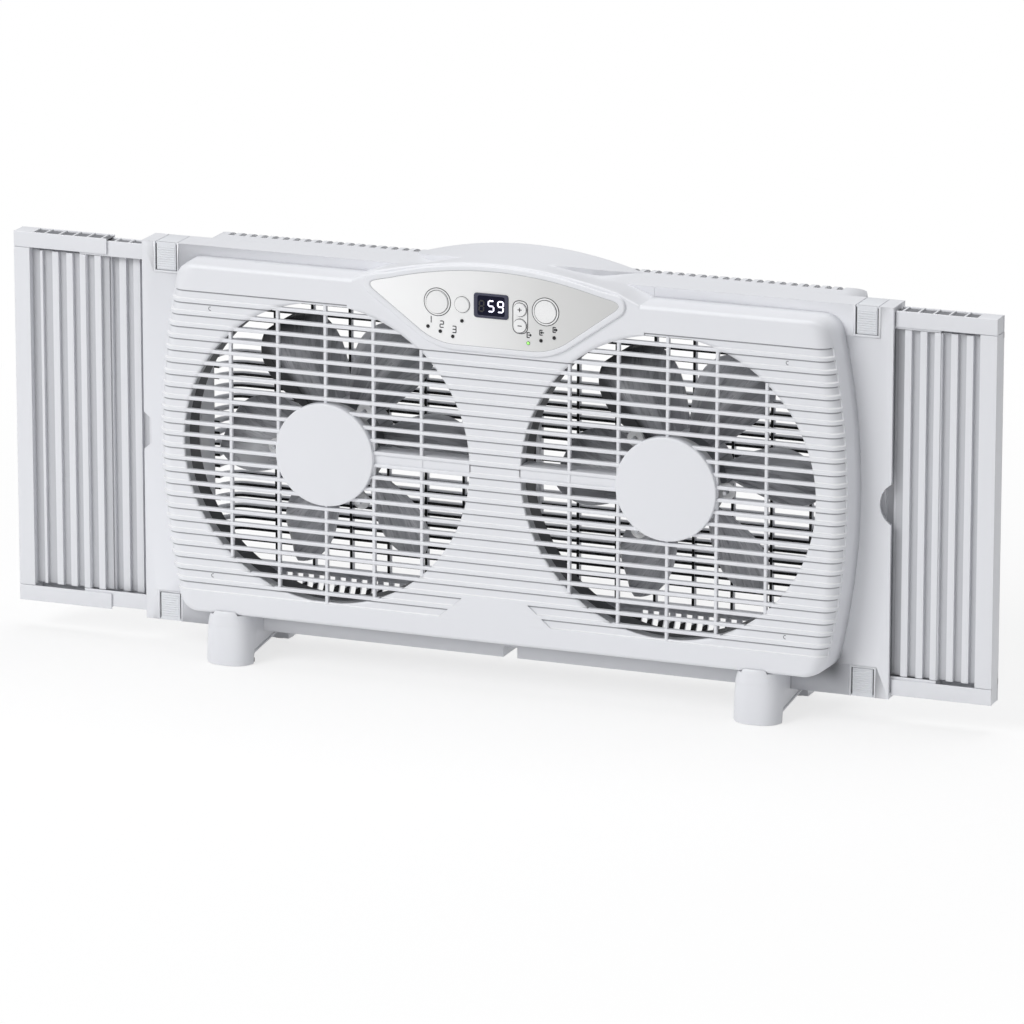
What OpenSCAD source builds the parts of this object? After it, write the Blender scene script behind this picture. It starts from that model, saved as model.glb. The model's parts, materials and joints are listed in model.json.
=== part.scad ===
// Twin window fan: a flat housing with two fan wheels behind a ribbed front shell, a louvred dome
// behind, telescoping side panels that fill the width of a window, and two feet.
// The front faces -Y, +Z is up and the floor is at Z = 0.

/* [Front shell] */
// Width of the strip between the two openings
opening_gap = 42; // [40:1:46]
// Width of the face beside an opening at the shell's corners
cheek_w = 7.5; // [6:0.5:10]
// How far each side of the shell swells out at mid height
shell_bulge = 17.5; // [14:0.5:20]
// Height of the face above the openings
brow_h = 21.5; // [21:0.5:23]
// Height of the face below the openings
chin_h = 18; // [17:0.5:20]
// Depth of the shell, from the housing to its face
shell_depth = 34; // [32:0.5:38]
// Radius of the shell's four corners
shell_corner = 16; // [13:1:18]
// Thickness of the shell's walls
shell_wall = 2.5; // [2:0.1:3]
// Thickness of the shell's face
face_wall = 3; // [2.6:0.1:3.4]
// Rounding of the face's side edges
side_round = 11; // [9:0.5:12]
// Rounding of the face's top and bottom edges
edge_round = 3; // [2:0.25:3.5]
// How far the shell narrows on each side from back to face
shell_draft = 3; // [2:0.25:4]

/* [Grille] */
// Diameter of the two openings
opening_d = 240; // [236:1:242]
// How much of each opening's top is cut flat
flat_cut = 1.5; // [1:0.1:2.5]
// Pitch of the grooves
groove_pitch = 9.78; // [9.6:0.01:9.9]
// Height of one groove
groove_h = 6.7; // [6.2:0.1:7]
// Depth of the grooves
groove_depth = 1.5; // [1:0.1:1.7]
// Height of the first groove's top edge above the openings
groove_lead = 0.8; // [0.2:0.1:1.2]
// How far the grooves reach back round the side edges
groove_wrap = 9; // [7:0.5:10]
// Depth of the grille bars
bar_depth = 5; // [4:0.25:6]
// Width of the upright bars
upright_w = 2.6; // [2:0.1:3]
// Pitch of the upright bars
upright_pitch = 40; // [38:0.5:42]
// How far the upright bars sit behind the face
upright_set = 1; // [0.5:0.1:1.5]
// Depth of the ring behind each opening
ring_depth = 22.5; // [18:0.5:25]
// Diameter of the hub discs
hub_disc_d = 81.8; // [78:0.2:84]
// How far the hub discs stand in front of the face
hub_proud = 2.5; // [1.5:0.1:3.5]
// Depth of the hub cups
hub_cup = 8; // [6.5:0.5:9]
// Depth of the wire channel between a hub and its opening's inner edge
link_depth = 18; // [16:0.5:20]

/* [Controls] */
// Half the width of the control lens
lens_half = 102; // [99:0.5:103]
// Depth of the display's middle below the shell's top edge
display_drop = 10.5; // [10:0.5:12]
// Height of the lens's tips above the display's middle
lens_tip = 10; // [9:0.5:11]
// Height of the lens's crown above the display's middle
lens_crown = 27; // [26:0.5:28]
// Depth of the lens's lower edge below the display's middle
lens_low = 33.5; // [32.5:0.5:34.5]
// Half the width of the lens's lower edge
lens_low_half = 32; // [28:1:36]
// Thickness of the lens
lens_t = 2; // [1.5:0.1:2.2]
// Width of the raised surround
bezel_w = 5.5; // [4.5:0.5:6.5]
// How far the surround stands in front of the face
bezel_proud = 2; // [1.5:0.1:2.5]
// How far the lens lies below the surround
lens_set = 0.5; // [0.3:0.1:1]
// Radius of the speed and airflow buttons
big_button_r = 8.7; // [8:0.1:9.2]
// Radius of the mode button
mode_button_r = 5.8; // [5.2:0.1:6.2]
// Radius of the plus and minus buttons
small_button_r = 5.1; // [4.6:0.1:5.3]
// How far the buttons stand in front of the lens
button_proud = 0.8; // [0.5:0.1:1.2]
// Travel of the buttons
button_travel = 1; // [0.8:0.1:1.2]
// Width of the display window
display_w = 28.6; // [27:0.2:30]
// Height of the display window
display_h = 19.5; // [18:0.25:21]
// Radius of the status lights
led_r = 1.4; // [1.2:0.1:1.6]

/* [Housing] */
// Width of the housing beside the shell at mid height
flange_w = 24; // [22:0.5:28]
// Height of the housing above the shell's top edge
shell_margin = 7.5; // [7:0.5:9]
// Depth of the housing
housing_depth = 27; // [26.5:0.5:29]
// Thickness of the housing's front plate and back wall
plate_t = 3; // [2.6:0.1:3.2]
// Thickness of the housing's inner walls
housing_wall = 2.5; // [2:0.1:3]
// Height of the skirt along the bottom
skirt_h = 11; // [10.5:0.5:12]
// Width of the gap in the middle of the skirt
skirt_gap = 11.5; // [9:0.5:14]
// Height of the skirt above the floor
floor_gap = 21; // [20:0.5:24]
// Height of the shell's bottom edge above the skirt's bottom edge
shell_rise = 20; // [19:0.5:21]
// Radius of the vault over the controls
vault_r = 311; // [305:1:318]
// Height of the vault's crown above the housing
vault_rise = 14.5; // [13.5:0.5:15.5]
// Depth of the pocket that a side panel slides into
pocket_depth = 46; // [45:0.5:47]
// Diameter of the left and right finger notches in the front plate
notch_d = 37.4; // [35:0.2:40]
// Depth of the round finger notch
notch_depth = 9; // [7:0.5:10]

/* [Rear grille] */
// Width of the housing beside the rear grille
rear_side = 38; // [36:1:40]
// Depth of the rear grille
rear_depth = 43; // [41:0.5:44]
// Rounding of the rear grille's back edges
rear_round = 22; // [20:0.5:24]
// Thickness of the rear grille's skin
rear_wall = 2.5; // [2:0.1:3]
// Depth of the louvre blades
louvre_depth = 7; // [5:0.5:8]
// Thickness of the louvre blades
louvre_t = 2.2; // [1.8:0.1:2.6]
// Pitch of the louvre blades
louvre_pitch = 9; // [8.5:0.1:9.5]
// Least height of the rear grille's skin above and below the louvres
louvre_margin = 27; // [25:0.5:30]
// Pitch of the upright bars behind the louvres
rear_upright_pitch = 32; // [30:0.5:34]
// Pitch of the slots that wrap the top and bottom edges
slot_pitch = 9.2; // [9:0.1:9.6]
// Width of one of those slots
slot_w = 5; // [4:0.1:5.4]
// Thickness of the rib between the two fans
divider_t = 3; // [2:0.25:4]
// Depth of the rib between the two fans
divider_depth = 17; // [12:0.5:20]

/* [Side panels] */
// Width of one panel
panel_w = 80; // [79:0.5:80]
// Gap between an outer panel's ends and the housing's edges
panel_margin = 2.6; // [2:0.1:3]
// Depth of an outer panel
panel_depth = 17; // [16.8:0.1:17.4]
// Height of the rails along a panel's top and bottom
rail_h = 12.5; // [11.5:0.5:13.5]
// Wall of the sleeve that the outer panel forms round the inner one
sleeve_wall = 1.5; // [1.3:0.1:1.6]
// Width of the outer panel's stile
stile_w = 13; // [12:0.5:14]
// Pitch of the ribs on the panels
rib_pitch = 12.2; // [11.8:0.1:12.6]
// Width of one rib
rib_w = 4.9; // [4:0.1:5.5]
// Height of the ribs above the web
rib_h = 3; // [2.5:0.1:3.2]
// Thickness of the webs
web_t = 1.5; // [1.2:0.1:1.5]
// Drawn length of the left inner panel, beyond the housing
left_inner_out = 56; // [50:1:60]
// Drawn length of the left outer panel, beyond the inner one
left_outer_out = 56; // [50:1:60]
// Drawn length of the right inner panel, beyond the housing
right_inner_out = 36; // [36:1:50]
// Drawn length of the right outer panel, beyond the inner one
right_outer_out = 45; // [45:1:60]

/* [Latches] */
// Width of a corner latch
latch_w = 18; // [16:0.5:20]
// Height of a corner latch on the front
latch_h = 22.5; // [20:0.5:24]
// Distance from the latch's middle to the housing's end
latch_inset = 21; // [19:0.5:24]
// Thickness of a latch leaf
latch_t = 1.4; // [1.2:0.1:1.5]
// Height of the grip ridges
grip_h = 0.5; // [0.3:0.1:0.7]

/* [Fans] */
// Gap between the petals' tips and the opening's edge
tip_gap = 8; // [6:0.5:12]
// Number of petals
blade_count = 6; // [5:1:7]
// Angle of the first petal above the horizontal
blade_phase = 3; // [0:1:30]
// Half the depth of a petal at its tip
blade_pitch_depth = 12; // [9:0.5:13]
// Thickness of a petal
blade_t = 2; // [1.6:0.1:2.4]
// Diameter of the wheel's hub
wheel_hub_d = 64; // [60:1:68]
// Depth of the wheel's hub
wheel_hub_l = 30; // [28:0.5:32]
// Diameter of the motor
motor_d = 72; // [68:0.5:73]
// Depth of the motor's stator
motor_l = 20; // [18:0.5:20]
// Diameter of the armature
armature_d = 32; // [28:0.5:36]
// Diameter of the fan shaft
shaft_d = 8; // [7:0.25:9]
// Outer diameter of the shaft bushes
bush_d = 13; // [12:0.25:14]
// Depth of a shaft bush
bush_l = 6; // [5:0.5:6]
// Radius at which the motor screws sit
lug_r = 45.5; // [45:0.25:47]
// Radius of a motor lug's round end
lug_end_r = 6.5; // [6:0.25:7]

/* [Feet] */
// Distance from a foot's middle to the housing's end
foot_inset = 91.5; // [85:0.5:95]
// Width of a foot
foot_w = 45; // [40:1:48]
// Distance from the housing's front to the toe
toe_reach = 38; // [37:0.5:42]
// Distance from the housing's front to the heel
heel_reach = 72; // [71:0.5:78]
// Width of the bar under the housing
foot_bar_w = 38; // [34:1:42]
// Height of the bar's underside above the floor
foot_bar_rise = 5; // [3:0.5:7]
// Length of the block at the heel that stands on the floor
heel_l = 24; // [22:1:30]
// Radius of the rubber pads
pad_r = 9; // [8:0.5:10]
// How far the pads stand below the feet
pad_proud = 1; // [0.6:0.1:1.5]
// Thickness of the pads
pad_t = 2.4; // [2:0.1:3]

/* [Fasteners and fits] */
// Radius of the screws' shanks
screw_r = 1.5; // [1.3:0.1:1.6]
// Radius of the screws' heads
screw_head_r = 3.2; // [2.8:0.1:3.4]
// Height of the screws' heads
screw_head_h = 2; // [1.6:0.1:2.2]
// Radius of the screw bosses
boss_r = 4.5; // [4:0.1:5]
// Clearance between a shaft and its bush
running_gap = 0.05; // [0.03:0.01:0.08]
// Clearance round a screw or a seated piece
seat_gap = 0.1; // [0.08:0.01:0.15]
// Clearance between pieces that slide on each other
slide_gap = 0.3; // [0.25:0.05:0.4]

/* [Hidden] */
$fn = 72;

white = [0.9, 0.91, 0.93];
silver = [0.84, 0.84, 0.83];
smoke = [0.28, 0.29, 0.31];
steel = [0.66, 0.67, 0.69];
over = 1;                      // how far a cutter runs past the face it cuts

// Widths and heights that build up from the openings
opening_r = opening_d / 2;
opening_flat = opening_r - flat_cut;
fan_spacing = opening_d + opening_gap;
hub_x = fan_spacing / 2;
shell_w = fan_spacing + opening_d + 2 * cheek_w;
shell_h = chin_h + opening_d + brow_h;
housing_w = shell_w + 2 * (shell_bulge + flange_w);
housing_h = shell_rise + shell_h + shell_margin;
rear_w = housing_w - 2 * rear_side;
groove_count = ceil(opening_d / groove_pitch);
link_row = floor(groove_count / 2);
panel_half = housing_h / 2 - panel_margin;
fan_d = opening_d - 2 * tip_gap;
foot_spacing = housing_w - 2 * foot_inset;

// Levels
housing_z0 = floor_gap;
housing_z1 = housing_z0 + housing_h;
mid_z = (housing_z0 + housing_z1) / 2;
shell_z0 = housing_z0 + shell_rise;
shell_z1 = shell_z0 + shell_h;
hub_z = shell_z0 + chin_h + opening_r;
ctl_z = shell_z1 - display_drop;
vault_cz = housing_z1 + vault_rise - vault_r;

// Depths
face_y = -shell_depth;
inner_y = face_y + face_wall;
bezel_y = face_y - bezel_proud;
lens_y = bezel_y + lens_set;
floor_y = lens_y + lens_t;
board_t = 1.6;
board_y = inner_y + 7;
back_y = housing_depth;
rear_y = back_y + rear_depth;
hub_y = face_y - hub_proud;

// Control positions, from the middle of the shell and from the height of the display's middle
speed_at = [-46.4, -0.7];
mode_at = [-25.7, -0.9];
display_at = [-1.8, 0];
plus_at = [21.7, -0.7];
minus_at = [21.7, -13.3];
airflow_at = [42.7, -0.6];
button_spots = [speed_at, mode_at, plus_at, minus_at, airflow_at];
light_spots = [
  [-54, -20.3], [-43.8, -23.4], [-33.5, -26.6], [-25.9, -13.7], [28.6, -26.3], [39, -23.5],
  [49.8, -20.4]
];
board_half = 60;
board_low = -30;
board_high = 15;
board_screw_x = board_half - 3.5;
board_screw_spots = [
  for (z = [board_low + 3, board_high - 3.5], side = [-1, 1]) [side * board_screw_x, z]
];

// Screw positions
shell_screw_out = 96.5;
shell_screw_x = hub_x + shell_screw_out;
shell_screw_rise = 107.5;
shell_screw_bite = 10;
rear_screw_x = rear_w / 2 - 20;
rear_screw_seat = 13;
rear_screw_bite = 11;
rear_screw_z = [housing_z0 + 31, housing_z1 - 14];
lug_angles = [50, -55, 180];
foot_screw_ys = [8, 19];

// A slab between two corners
module slab(x0, x1, y0, y1, z0, z1) {
  translate([x0, y0, z0])
    cube([x1 - x0, y1 - y0, z1 - z0]);
}

// A flat outline in X and Z, given depth from y0 back to y1
module across(y0, y1) {
  translate([0, y1, 0])
    rotate([90, 0, 0])
      linear_extrude(y1 - y0)
        children();
}

// A round bar along Y
module rod(x, z, y0, y1, r) {
  translate([x, y1, z])
    rotate([90, 0, 0])
      cylinder(r = r, h = y1 - y0);
}

// Both sides of a symmetrical pair
module pair() {
  children();
  mirror([1, 0, 0])
    children();
}

// What a square corner loses when it is rounded; sx and sz say which way the corner points
module corner_waste(r, sx, sz) {
  difference() {
    translate([sx > 0 ? 0 : -r - over, sz > 0 ? 0 : -r - over])
      square(r + over);
    circle(r);
  }
}

// An outline with four round corners
module round_box(x0, x1, z0, z1, r) {
  difference() {
    translate([x0, z0])
      square([x1 - x0, z1 - z0]);
    translate([x0 + r, z0 + r])
      corner_waste(r, -1, -1);
    translate([x1 - r, z0 + r])
      corner_waste(r, 1, -1);
    translate([x0 + r, z1 - r])
      corner_waste(r, -1, 1);
    translate([x1 - r, z1 - r])
      corner_waste(r, 1, 1);
  }
}

// A closed skin through rings of points that run from the back to the front
module loft(rings) {
  m = len(rings[0]);
  n = len(rings);
  polyhedron(
    points = [for (ring = rings) each ring],
    faces = concat(
      [[for (j = [0:m - 1]) j]],
      [[for (j = [m - 1:-1:0]) (n - 1) * m + j]],
      [for (i = [0:n - 2], j = [0:m - 1])
        let (a = i * m + j, b = i * m + (j + 1) % m)
        each [[a, a + m, b + m], [a, b + m, b]]]
    )
  );
}

// ---- Front shell ----

// A barrel outline: arcs for both sides, flat top and bottom, round corners, anticlockwise
side_steps = 10;
corner_steps = 4;
function barrel(half_w, bulge, z0, z1, r) =
  let (
    zm = (z0 + z1) / 2,
    h = (z1 - z0) / 2,
    big = (h * h + bulge * bulge) / (2 * bulge),
    bx = half_w + bulge - big,
    a = asin((h - r) / (big - r)),
    cx = bx + sqrt(pow(big - r, 2) - pow(h - r, 2)),
    cz = h - r
  )
  concat(
    [for (i = [0:side_steps]) let (t = -a + 2 * a * i / side_steps)
      [bx + big * cos(t), zm + big * sin(t)]],
    [for (i = [1:corner_steps]) let (t = a + (90 - a) * i / corner_steps)
      [cx + r * cos(t), zm + cz + r * sin(t)]],
    [for (i = [0:corner_steps - 1]) let (t = 90 + (90 - a) * i / corner_steps)
      [-cx + r * cos(t), zm + cz + r * sin(t)]],
    [for (i = [0:side_steps]) let (t = 180 - a + 2 * a * i / side_steps)
      [-bx + big * cos(t), zm + big * sin(t)]],
    [for (i = [1:corner_steps]) let (t = 180 + a + (90 - a) * i / corner_steps)
      [-cx + r * cos(t), zm - cz + r * sin(t)]],
    [for (i = [0:corner_steps - 1]) let (t = 270 + (90 - a) * i / corner_steps)
      [cx + r * cos(t), zm - cz + r * sin(t)]]
  );

round_steps = 5;
least_corner = 5;
// One ring of the shell, g inside its outer skin: side_in is what the sides' rounding takes off
function shell_ring(g, y, side_in) =
  let (
    deep = y - face_y - g,
    r = max(edge_round - g, 0.5),
    top_in = g + (deep < r ? r - sqrt(max(r * r - pow(r - deep, 2), 0)) : 0),
    side = g + side_in - shell_draft * y / shell_depth,
    corner = max(shell_corner - (side + top_in) / 2, least_corner)
  )
  [for (p = barrel(shell_w / 2 - side, shell_bulge, shell_z0 + top_in, shell_z1 - top_in, corner))
    [p.x, y, p.y]];

// The solid form of the shell, g inside its outer skin, from the face back to y_end
module shell_form(g, y_end) {
  round_r = side_round - g;
  loft(concat(
    [shell_ring(g, y_end, 0)],
    [for (i = [0:round_steps]) let (t = 90 * i / round_steps)
      shell_ring(g, face_y + g + round_r * (1 - sin(t)), round_r * (1 - cos(t)))]
  ));
}

// The vault's outline, g below its skin
vault_half = 125;
vault_foot = 20;
vault_set = 1;                 // how far the vault starts behind the face
module vault_2d(g) {
  intersection() {
    translate([0, vault_cz])
      circle(vault_r - g, $fn = 360);
    translate([-vault_half, shell_z1 - vault_foot])
      square([2 * vault_half, vault_foot + vault_rise + shell_rise]);
  }
}

shield_steps = 20;
function bend(a, b, c, n) = [for (i = [0:n]) let (t = i / n)
  a * (1 - t) * (1 - t) + b * 2 * t * (1 - t) + c * t * t];
function flip(points) = [for (i = [len(points) - 1:-1:0]) [-points[i].x, points[i].y]];
// The shield outline of the lens and its surround: an arc above, two sweeps below
function shield(tip, crown, low, elbow, grow) =
  let (
    x = tip.x,
    drop = crown - tip.y,
    r = (x * x + drop * drop) / (2 * drop),
    sweep = bend([x, tip.y - grow], elbow, [low.x, low.y], round_steps * 2)
  )
  concat(
    [for (i = [0:shield_steps]) let (u = -x + 2 * x * i / shield_steps)
      [u, crown - r + sqrt(r * r - u * u)]],
    sweep,
    flip(sweep)
  );

lens_elbow = [60, -34.5];
bezel_tip_h = 8;
module lens_2d(g) {
  translate([0, ctl_z])
    polygon(shield([lens_half + g, lens_tip], lens_crown + g, [lens_low_half, -lens_low - g],
      lens_elbow - [0, g], 0));
}
module bezel_2d() {
  half = lens_half + bezel_w;
  arc_z = vault_cz + sqrt(vault_r * vault_r - half * half) - ctl_z;
  intersection() {
    translate([0, ctl_z])
      polygon(shield([half, arc_z + bezel_w], housing_z1 + vault_rise + bezel_w - ctl_z,
        [lens_low_half - 1, -lens_low - bezel_w + 1], lens_elbow - [-3, bezel_w],
        bezel_tip_h + bezel_w));
    translate([0, vault_cz])
      circle(vault_r, $fn = 360);
  }
}

function groove_z(k) = hub_z + opening_r + groove_lead - k * groove_pitch;

// The bare field at the middle of the lowest grooves
field_top = [27.4, -104.1];
field_low = [47.7, -121.5];
// Grooves that would run under the controls keep to the outer halves
control_rows = 2;
groove_half = 300;
module grooves() {
  difference() {
    for (k = [0:groove_count - 1])
      slab(-groove_half, groove_half, face_y - over, face_y + groove_wrap,
        groove_z(k) - groove_h, groove_z(k));
    shell_form(groove_depth, 0);
    across(face_y - over, inner_y)
      translate([0, hub_z])
        polygon([field_top, [-field_top.x, field_top.y], [-field_low.x, field_low.y], field_low]);
    slab(-hub_x, hub_x, face_y - over, inner_y, groove_z(control_rows + 1) + over, shell_z1);
  }
}

module opening_2d(r) {
  translate([hub_x, hub_z])
    intersection() {
      circle(r);
      translate([-r, -r])
        square([2 * r, r + opening_flat + r - opening_r]);
    }
}

// The bars that cross one opening: they carry the face's ribs on from side to side
joint_lap = 0.6;                // how far a joined piece runs into its neighbour
bar_set = 0.05;
module bars() {
  across(face_y + bar_set, face_y + bar_depth)
    intersection() {
      opening_2d(opening_r + joint_lap);
      for (k = [0:groove_count - 1])
        translate([hub_x - opening_r - over, groove_z(k + 1)])
          square([opening_d + 2 * over, groove_pitch - groove_h]);
    }
  across(face_y + upright_set, face_y + bar_depth)
    intersection() {
      opening_2d(opening_r + joint_lap);
      for (i = [-2:2])
        translate([hub_x + i * upright_pitch - upright_w / 2, hub_z - opening_r - over])
          square([upright_w, opening_d + 2 * over]);
    }
}

// The hub disc: a shallow cup with a thin round rim
hub_rim = 1.5;
module hub_cup() {
  r = hub_disc_d / 2;
  translate([hub_x, hub_y, hub_z])
    rotate([-90, 0, 0])
      rotate_extrude()
        polygon([
          [0, 0], [r - hub_rim, 0], [r - hub_rim * 0.4, hub_rim * 0.25],
          [r - hub_rim * 0.1, hub_rim * 0.6], [r, hub_rim], [r, hub_cup],
          [r - shell_wall, hub_cup], [r - shell_wall, shell_wall], [0, shell_wall]
        ]);
}

// The duct ring behind one opening, with a hole where the motor's lead goes through
lead_y = face_y + 14;
lead_z = groove_z(link_row) - groove_h / 2;
lead_r = 1.8;
lead_hole_r = 3;
ring_set = 0.4;
module duct_ring() {
  difference() {
    across(inner_y - joint_lap, inner_y + ring_depth)
      difference() {
        opening_2d(opening_r + ring_set + shell_wall);
        opening_2d(opening_r + ring_set);
      }
    translate([hub_x - opening_r - 2 * shell_wall, lead_y, lead_z])
      rotate([0, 90, 0])
        cylinder(r = lead_hole_r, h = 4 * shell_wall);
  }
}

// The link from a hub to its opening's inner edge: one groove filled to its floor, between the
// bars above and below it, with a wire channel behind
link_wall = 1.5;
module link_band() {
  x0 = hub_x - opening_r - joint_lap;
  x1 = hub_x - hub_disc_d / 2 + shell_wall / 2;
  half = groove_pitch - groove_h / 2;
  slab(x0, x1, face_y + groove_depth, inner_y + joint_lap, lead_z - groove_h / 2 - joint_lap,
    lead_z + groove_h / 2 + joint_lap);
  for (side = [-1, 1])
    slab(x0, x1, inner_y - joint_lap, face_y + link_depth,
      lead_z + side * (half - link_wall / 2) - link_wall / 2,
      lead_z + side * (half - link_wall / 2) + link_wall / 2);
}

module lug_spots() {
  for (a = lug_angles)
    translate([hub_x - lug_r * cos(a), 0, hub_z + lug_r * sin(a)])
      children();
}

mount_y = inner_y + 7;
sensor_at = [12, 62];
sensor_r = 2.5;
module front_shell() {
  color(white)
    difference() {
      union() {
        difference() {
          union() {
            shell_form(0, 0);
            across(face_y + vault_set, 0)
              vault_2d(0);
            across(bezel_y, inner_y)
              bezel_2d();
          }
          shell_form(face_wall, over);
          across(inner_y, over)
            vault_2d(shell_wall);
          grooves();
          pair()
            across(bezel_y - over, over)
              opening_2d(opening_r);
          across(bezel_y - over, floor_y)
            lens_2d(seat_gap);
        }
        pair() {
          bars();
          hub_cup();
          duct_ring();
          link_band();
          lug_spots()
            rod(0, 0, face_y + upright_set, mount_y, boss_r);
          for (side = [-1, 1])
            rod(shell_screw_x, hub_z + side * shell_screw_rise, inner_y - joint_lap, 0, boss_r);
        }
        for (p = board_screw_spots)
          rod(p.x, ctl_z + p.y, inner_y - joint_lap, board_y, boss_r - 1);
        rod(sensor_at.x, hub_z + sensor_at.y, inner_y - joint_lap, inner_y + 6, sensor_r + 2);
      }
      pair() {
        lug_spots()
          rod(0, 0, inner_y, mount_y + over, screw_r + seat_gap);
        for (side = [-1, 1])
          rod(shell_screw_x, hub_z + side * shell_screw_rise, -shell_screw_bite - 2, over,
            screw_r + seat_gap);
      }
      for (p = board_screw_spots)
        rod(p.x, ctl_z + p.y, inner_y, board_y + over, screw_r + seat_gap);
      rod(sensor_at.x, hub_z + sensor_at.y, inner_y, inner_y + 6 + over, sensor_r + seat_gap);
      button_holes();
      across(floor_y - over, inner_y + over)
        display_2d(-2);
    }
}

// ---- Controls ----

function button_r(i) = i == 0 || i == 4 ? big_button_r : i == 1 ? mode_button_r : small_button_r;

module display_2d(g) {
  translate([display_at.x, ctl_z + display_at.y])
    square([display_w + 2 * g, display_h + 2 * g], center = true);
}

module button_holes() {
  for (i = [0:4])
    rod(button_spots[i].x, ctl_z + button_spots[i].y, lens_y - over, inner_y + over,
      button_r(i) + slide_gap);
  for (p = light_spots)
    rod(p.x, ctl_z + p.y, lens_y - over, inner_y + over, led_r + seat_gap);
}

module control_lens() {
  color(silver)
    difference() {
      across(lens_y, floor_y)
        lens_2d(0);
      button_holes();
      across(lens_y - over, floor_y + over)
        display_2d(seat_gap);
    }
}

module display_window() {
  color([0.06, 0.06, 0.12])
    across(lens_y - 0.3, floor_y)
      display_2d(0);
}

module display_module() {
  color([0.12, 0.12, 0.14])
    across(floor_y, board_y)
      display_2d(-2.3);
}

// The board carries the lead connector at its lower edge
connector_half = 14;
connector_h = 8;
connector_t = 7;
module control_board() {
  color([0.1, 0.4, 0.2])
    difference() {
      slab(-board_half, board_half, board_y, board_y + board_t, ctl_z + board_low,
        ctl_z + board_high);
      for (p = board_screw_spots)
        rod(p.x, ctl_z + p.y, board_y - over, board_y + board_t + over, screw_r + 2 * seat_gap);
    }
  color(white)
    slab(-connector_half, connector_half, board_y + board_t - 0.1,
      board_y + board_t + connector_t, ctl_z + board_low, ctl_z + board_low + connector_h);
}

// A switch under each button; the button's stem runs in its bore
switch_half = 3;
switch_t = 3.6;
stem_r = 1.6;
stem_gap = 0.1;
module tact_switches() {
  color([0.15, 0.15, 0.16])
    for (p = button_spots)
      difference() {
        slab(p.x - switch_half, p.x + switch_half, board_y - switch_t, board_y,
          ctl_z + p.y - switch_half, ctl_z + p.y + switch_half);
        rod(p.x, ctl_z + p.y, board_y - switch_t - over, board_y - 0.5, stem_r + stem_gap);
      }
}

module status_lights() {
  color([0.15, 0.16, 0.15])
    for (p = light_spots)
      rod(p.x, ctl_z + p.y, lens_y - 0.2, board_y, led_r);
}

module ir_receiver() {
  color([0.1, 0.1, 0.1]) {
    slab(0, 6, board_y - 4, board_y, ctl_z + board_low + 2, ctl_z + board_low + 8);
    rod(3, ctl_z + board_low + 5, board_y - 5.5, board_y - 3.9, 2);
  }
}

module temperature_sensor() {
  color([0.2, 0.2, 0.2])
    rod(sensor_at.x, hub_z + sensor_at.y, inner_y + seat_gap, inner_y + 9, sensor_r);
}

module board_screws() {
  color(steel)
    for (p = board_screw_spots) {
      rod(p.x, ctl_z + p.y, board_y - 5, board_y + board_t, screw_r);
      rod(p.x, ctl_z + p.y, board_y + board_t, board_y + board_t + screw_head_h, screw_head_r);
    }
}

// A button: cap, retaining flange behind the shell's floor, and a stem into its switch
flange_lip = 0.9;
flange_t = 1.2;
module button(i) {
  p = button_spots[i];
  color([0.86, 0.86, 0.86]) {
    rod(p.x, ctl_z + p.y, lens_y - button_proud, inner_y + slide_gap + flange_t, button_r(i));
    rod(p.x, ctl_z + p.y, inner_y + slide_gap, inner_y + slide_gap + flange_t,
      button_r(i) + flange_lip);
    rod(p.x, ctl_z + p.y, inner_y + slide_gap, board_y - switch_t + 1.2, stem_r);
  }
}

// ---- Housing ----

pocket_x0 = housing_w / 2 - pocket_depth;
chamber_half = pocket_x0 - housing_wall;
chamber_z0 = housing_z0 + skirt_h;
chamber_z1 = housing_z1 - housing_wall;
window_margin = 3.5;
window_z0 = shell_z0 + window_margin;
window_z1 = shell_z1 - window_margin;
panel_in_half = panel_half - sleeve_wall - slide_gap - 0.1;
runner_h = 8;
panel_front = plate_t + slide_gap;
panel_in_front = panel_front + sleeve_wall + slide_gap;
panel_back = panel_front + panel_depth;
panel_in_back = panel_back - sleeve_wall - slide_gap;
gusset = 36;
gusset_h = 44;

module housing_screw_bosses() {
  for (z = rear_screw_z)
    rod(rear_screw_x, z, back_y - rear_screw_bite - 2, back_y, boss_r + 1);
  for (z = rear_screw_z)
    slab(rear_screw_x, chamber_half + joint_lap, back_y - rear_screw_bite - 2, back_y, z - 2,
      z + 2);
}

latch_x = housing_w / 2 - latch_inset;
// Where a latch lies: a recess in the front plate and the edge wall, slack round it
module latch_bed(g, extra) {
  slab(latch_x - latch_w / 2 - g, latch_x + latch_w / 2 + g, -over - extra, latch_t + g,
    housing_z1 - latch_h - g, housing_z1 + over + extra);
  slab(latch_x - latch_w / 2 - g, latch_x + latch_w / 2 + g, -over - extra,
    housing_depth + over + extra, housing_z1 - latch_t - g, housing_z1 + over + extra);
}

latch_foot_half = 3;
latch_foot_y = [8, 14];
latch_rim = 2;
latch_rim_h = 0.6;
module latch_details() {
  difference() {
    union() {
      slab(latch_x - latch_w / 2 - latch_rim, latch_x + latch_w / 2 + latch_rim, -latch_rim_h, over,
        housing_z1 - latch_h - latch_rim, housing_z1);
    }
    latch_bed(slide_gap, 0);
  }
}

// Mirrors what is drawn at the top about the housing's middle height
module top_and_bottom() {
  children();
  translate([0, 0, 2 * mid_z])
    mirror([0, 0, 1])
      children();
}

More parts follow.
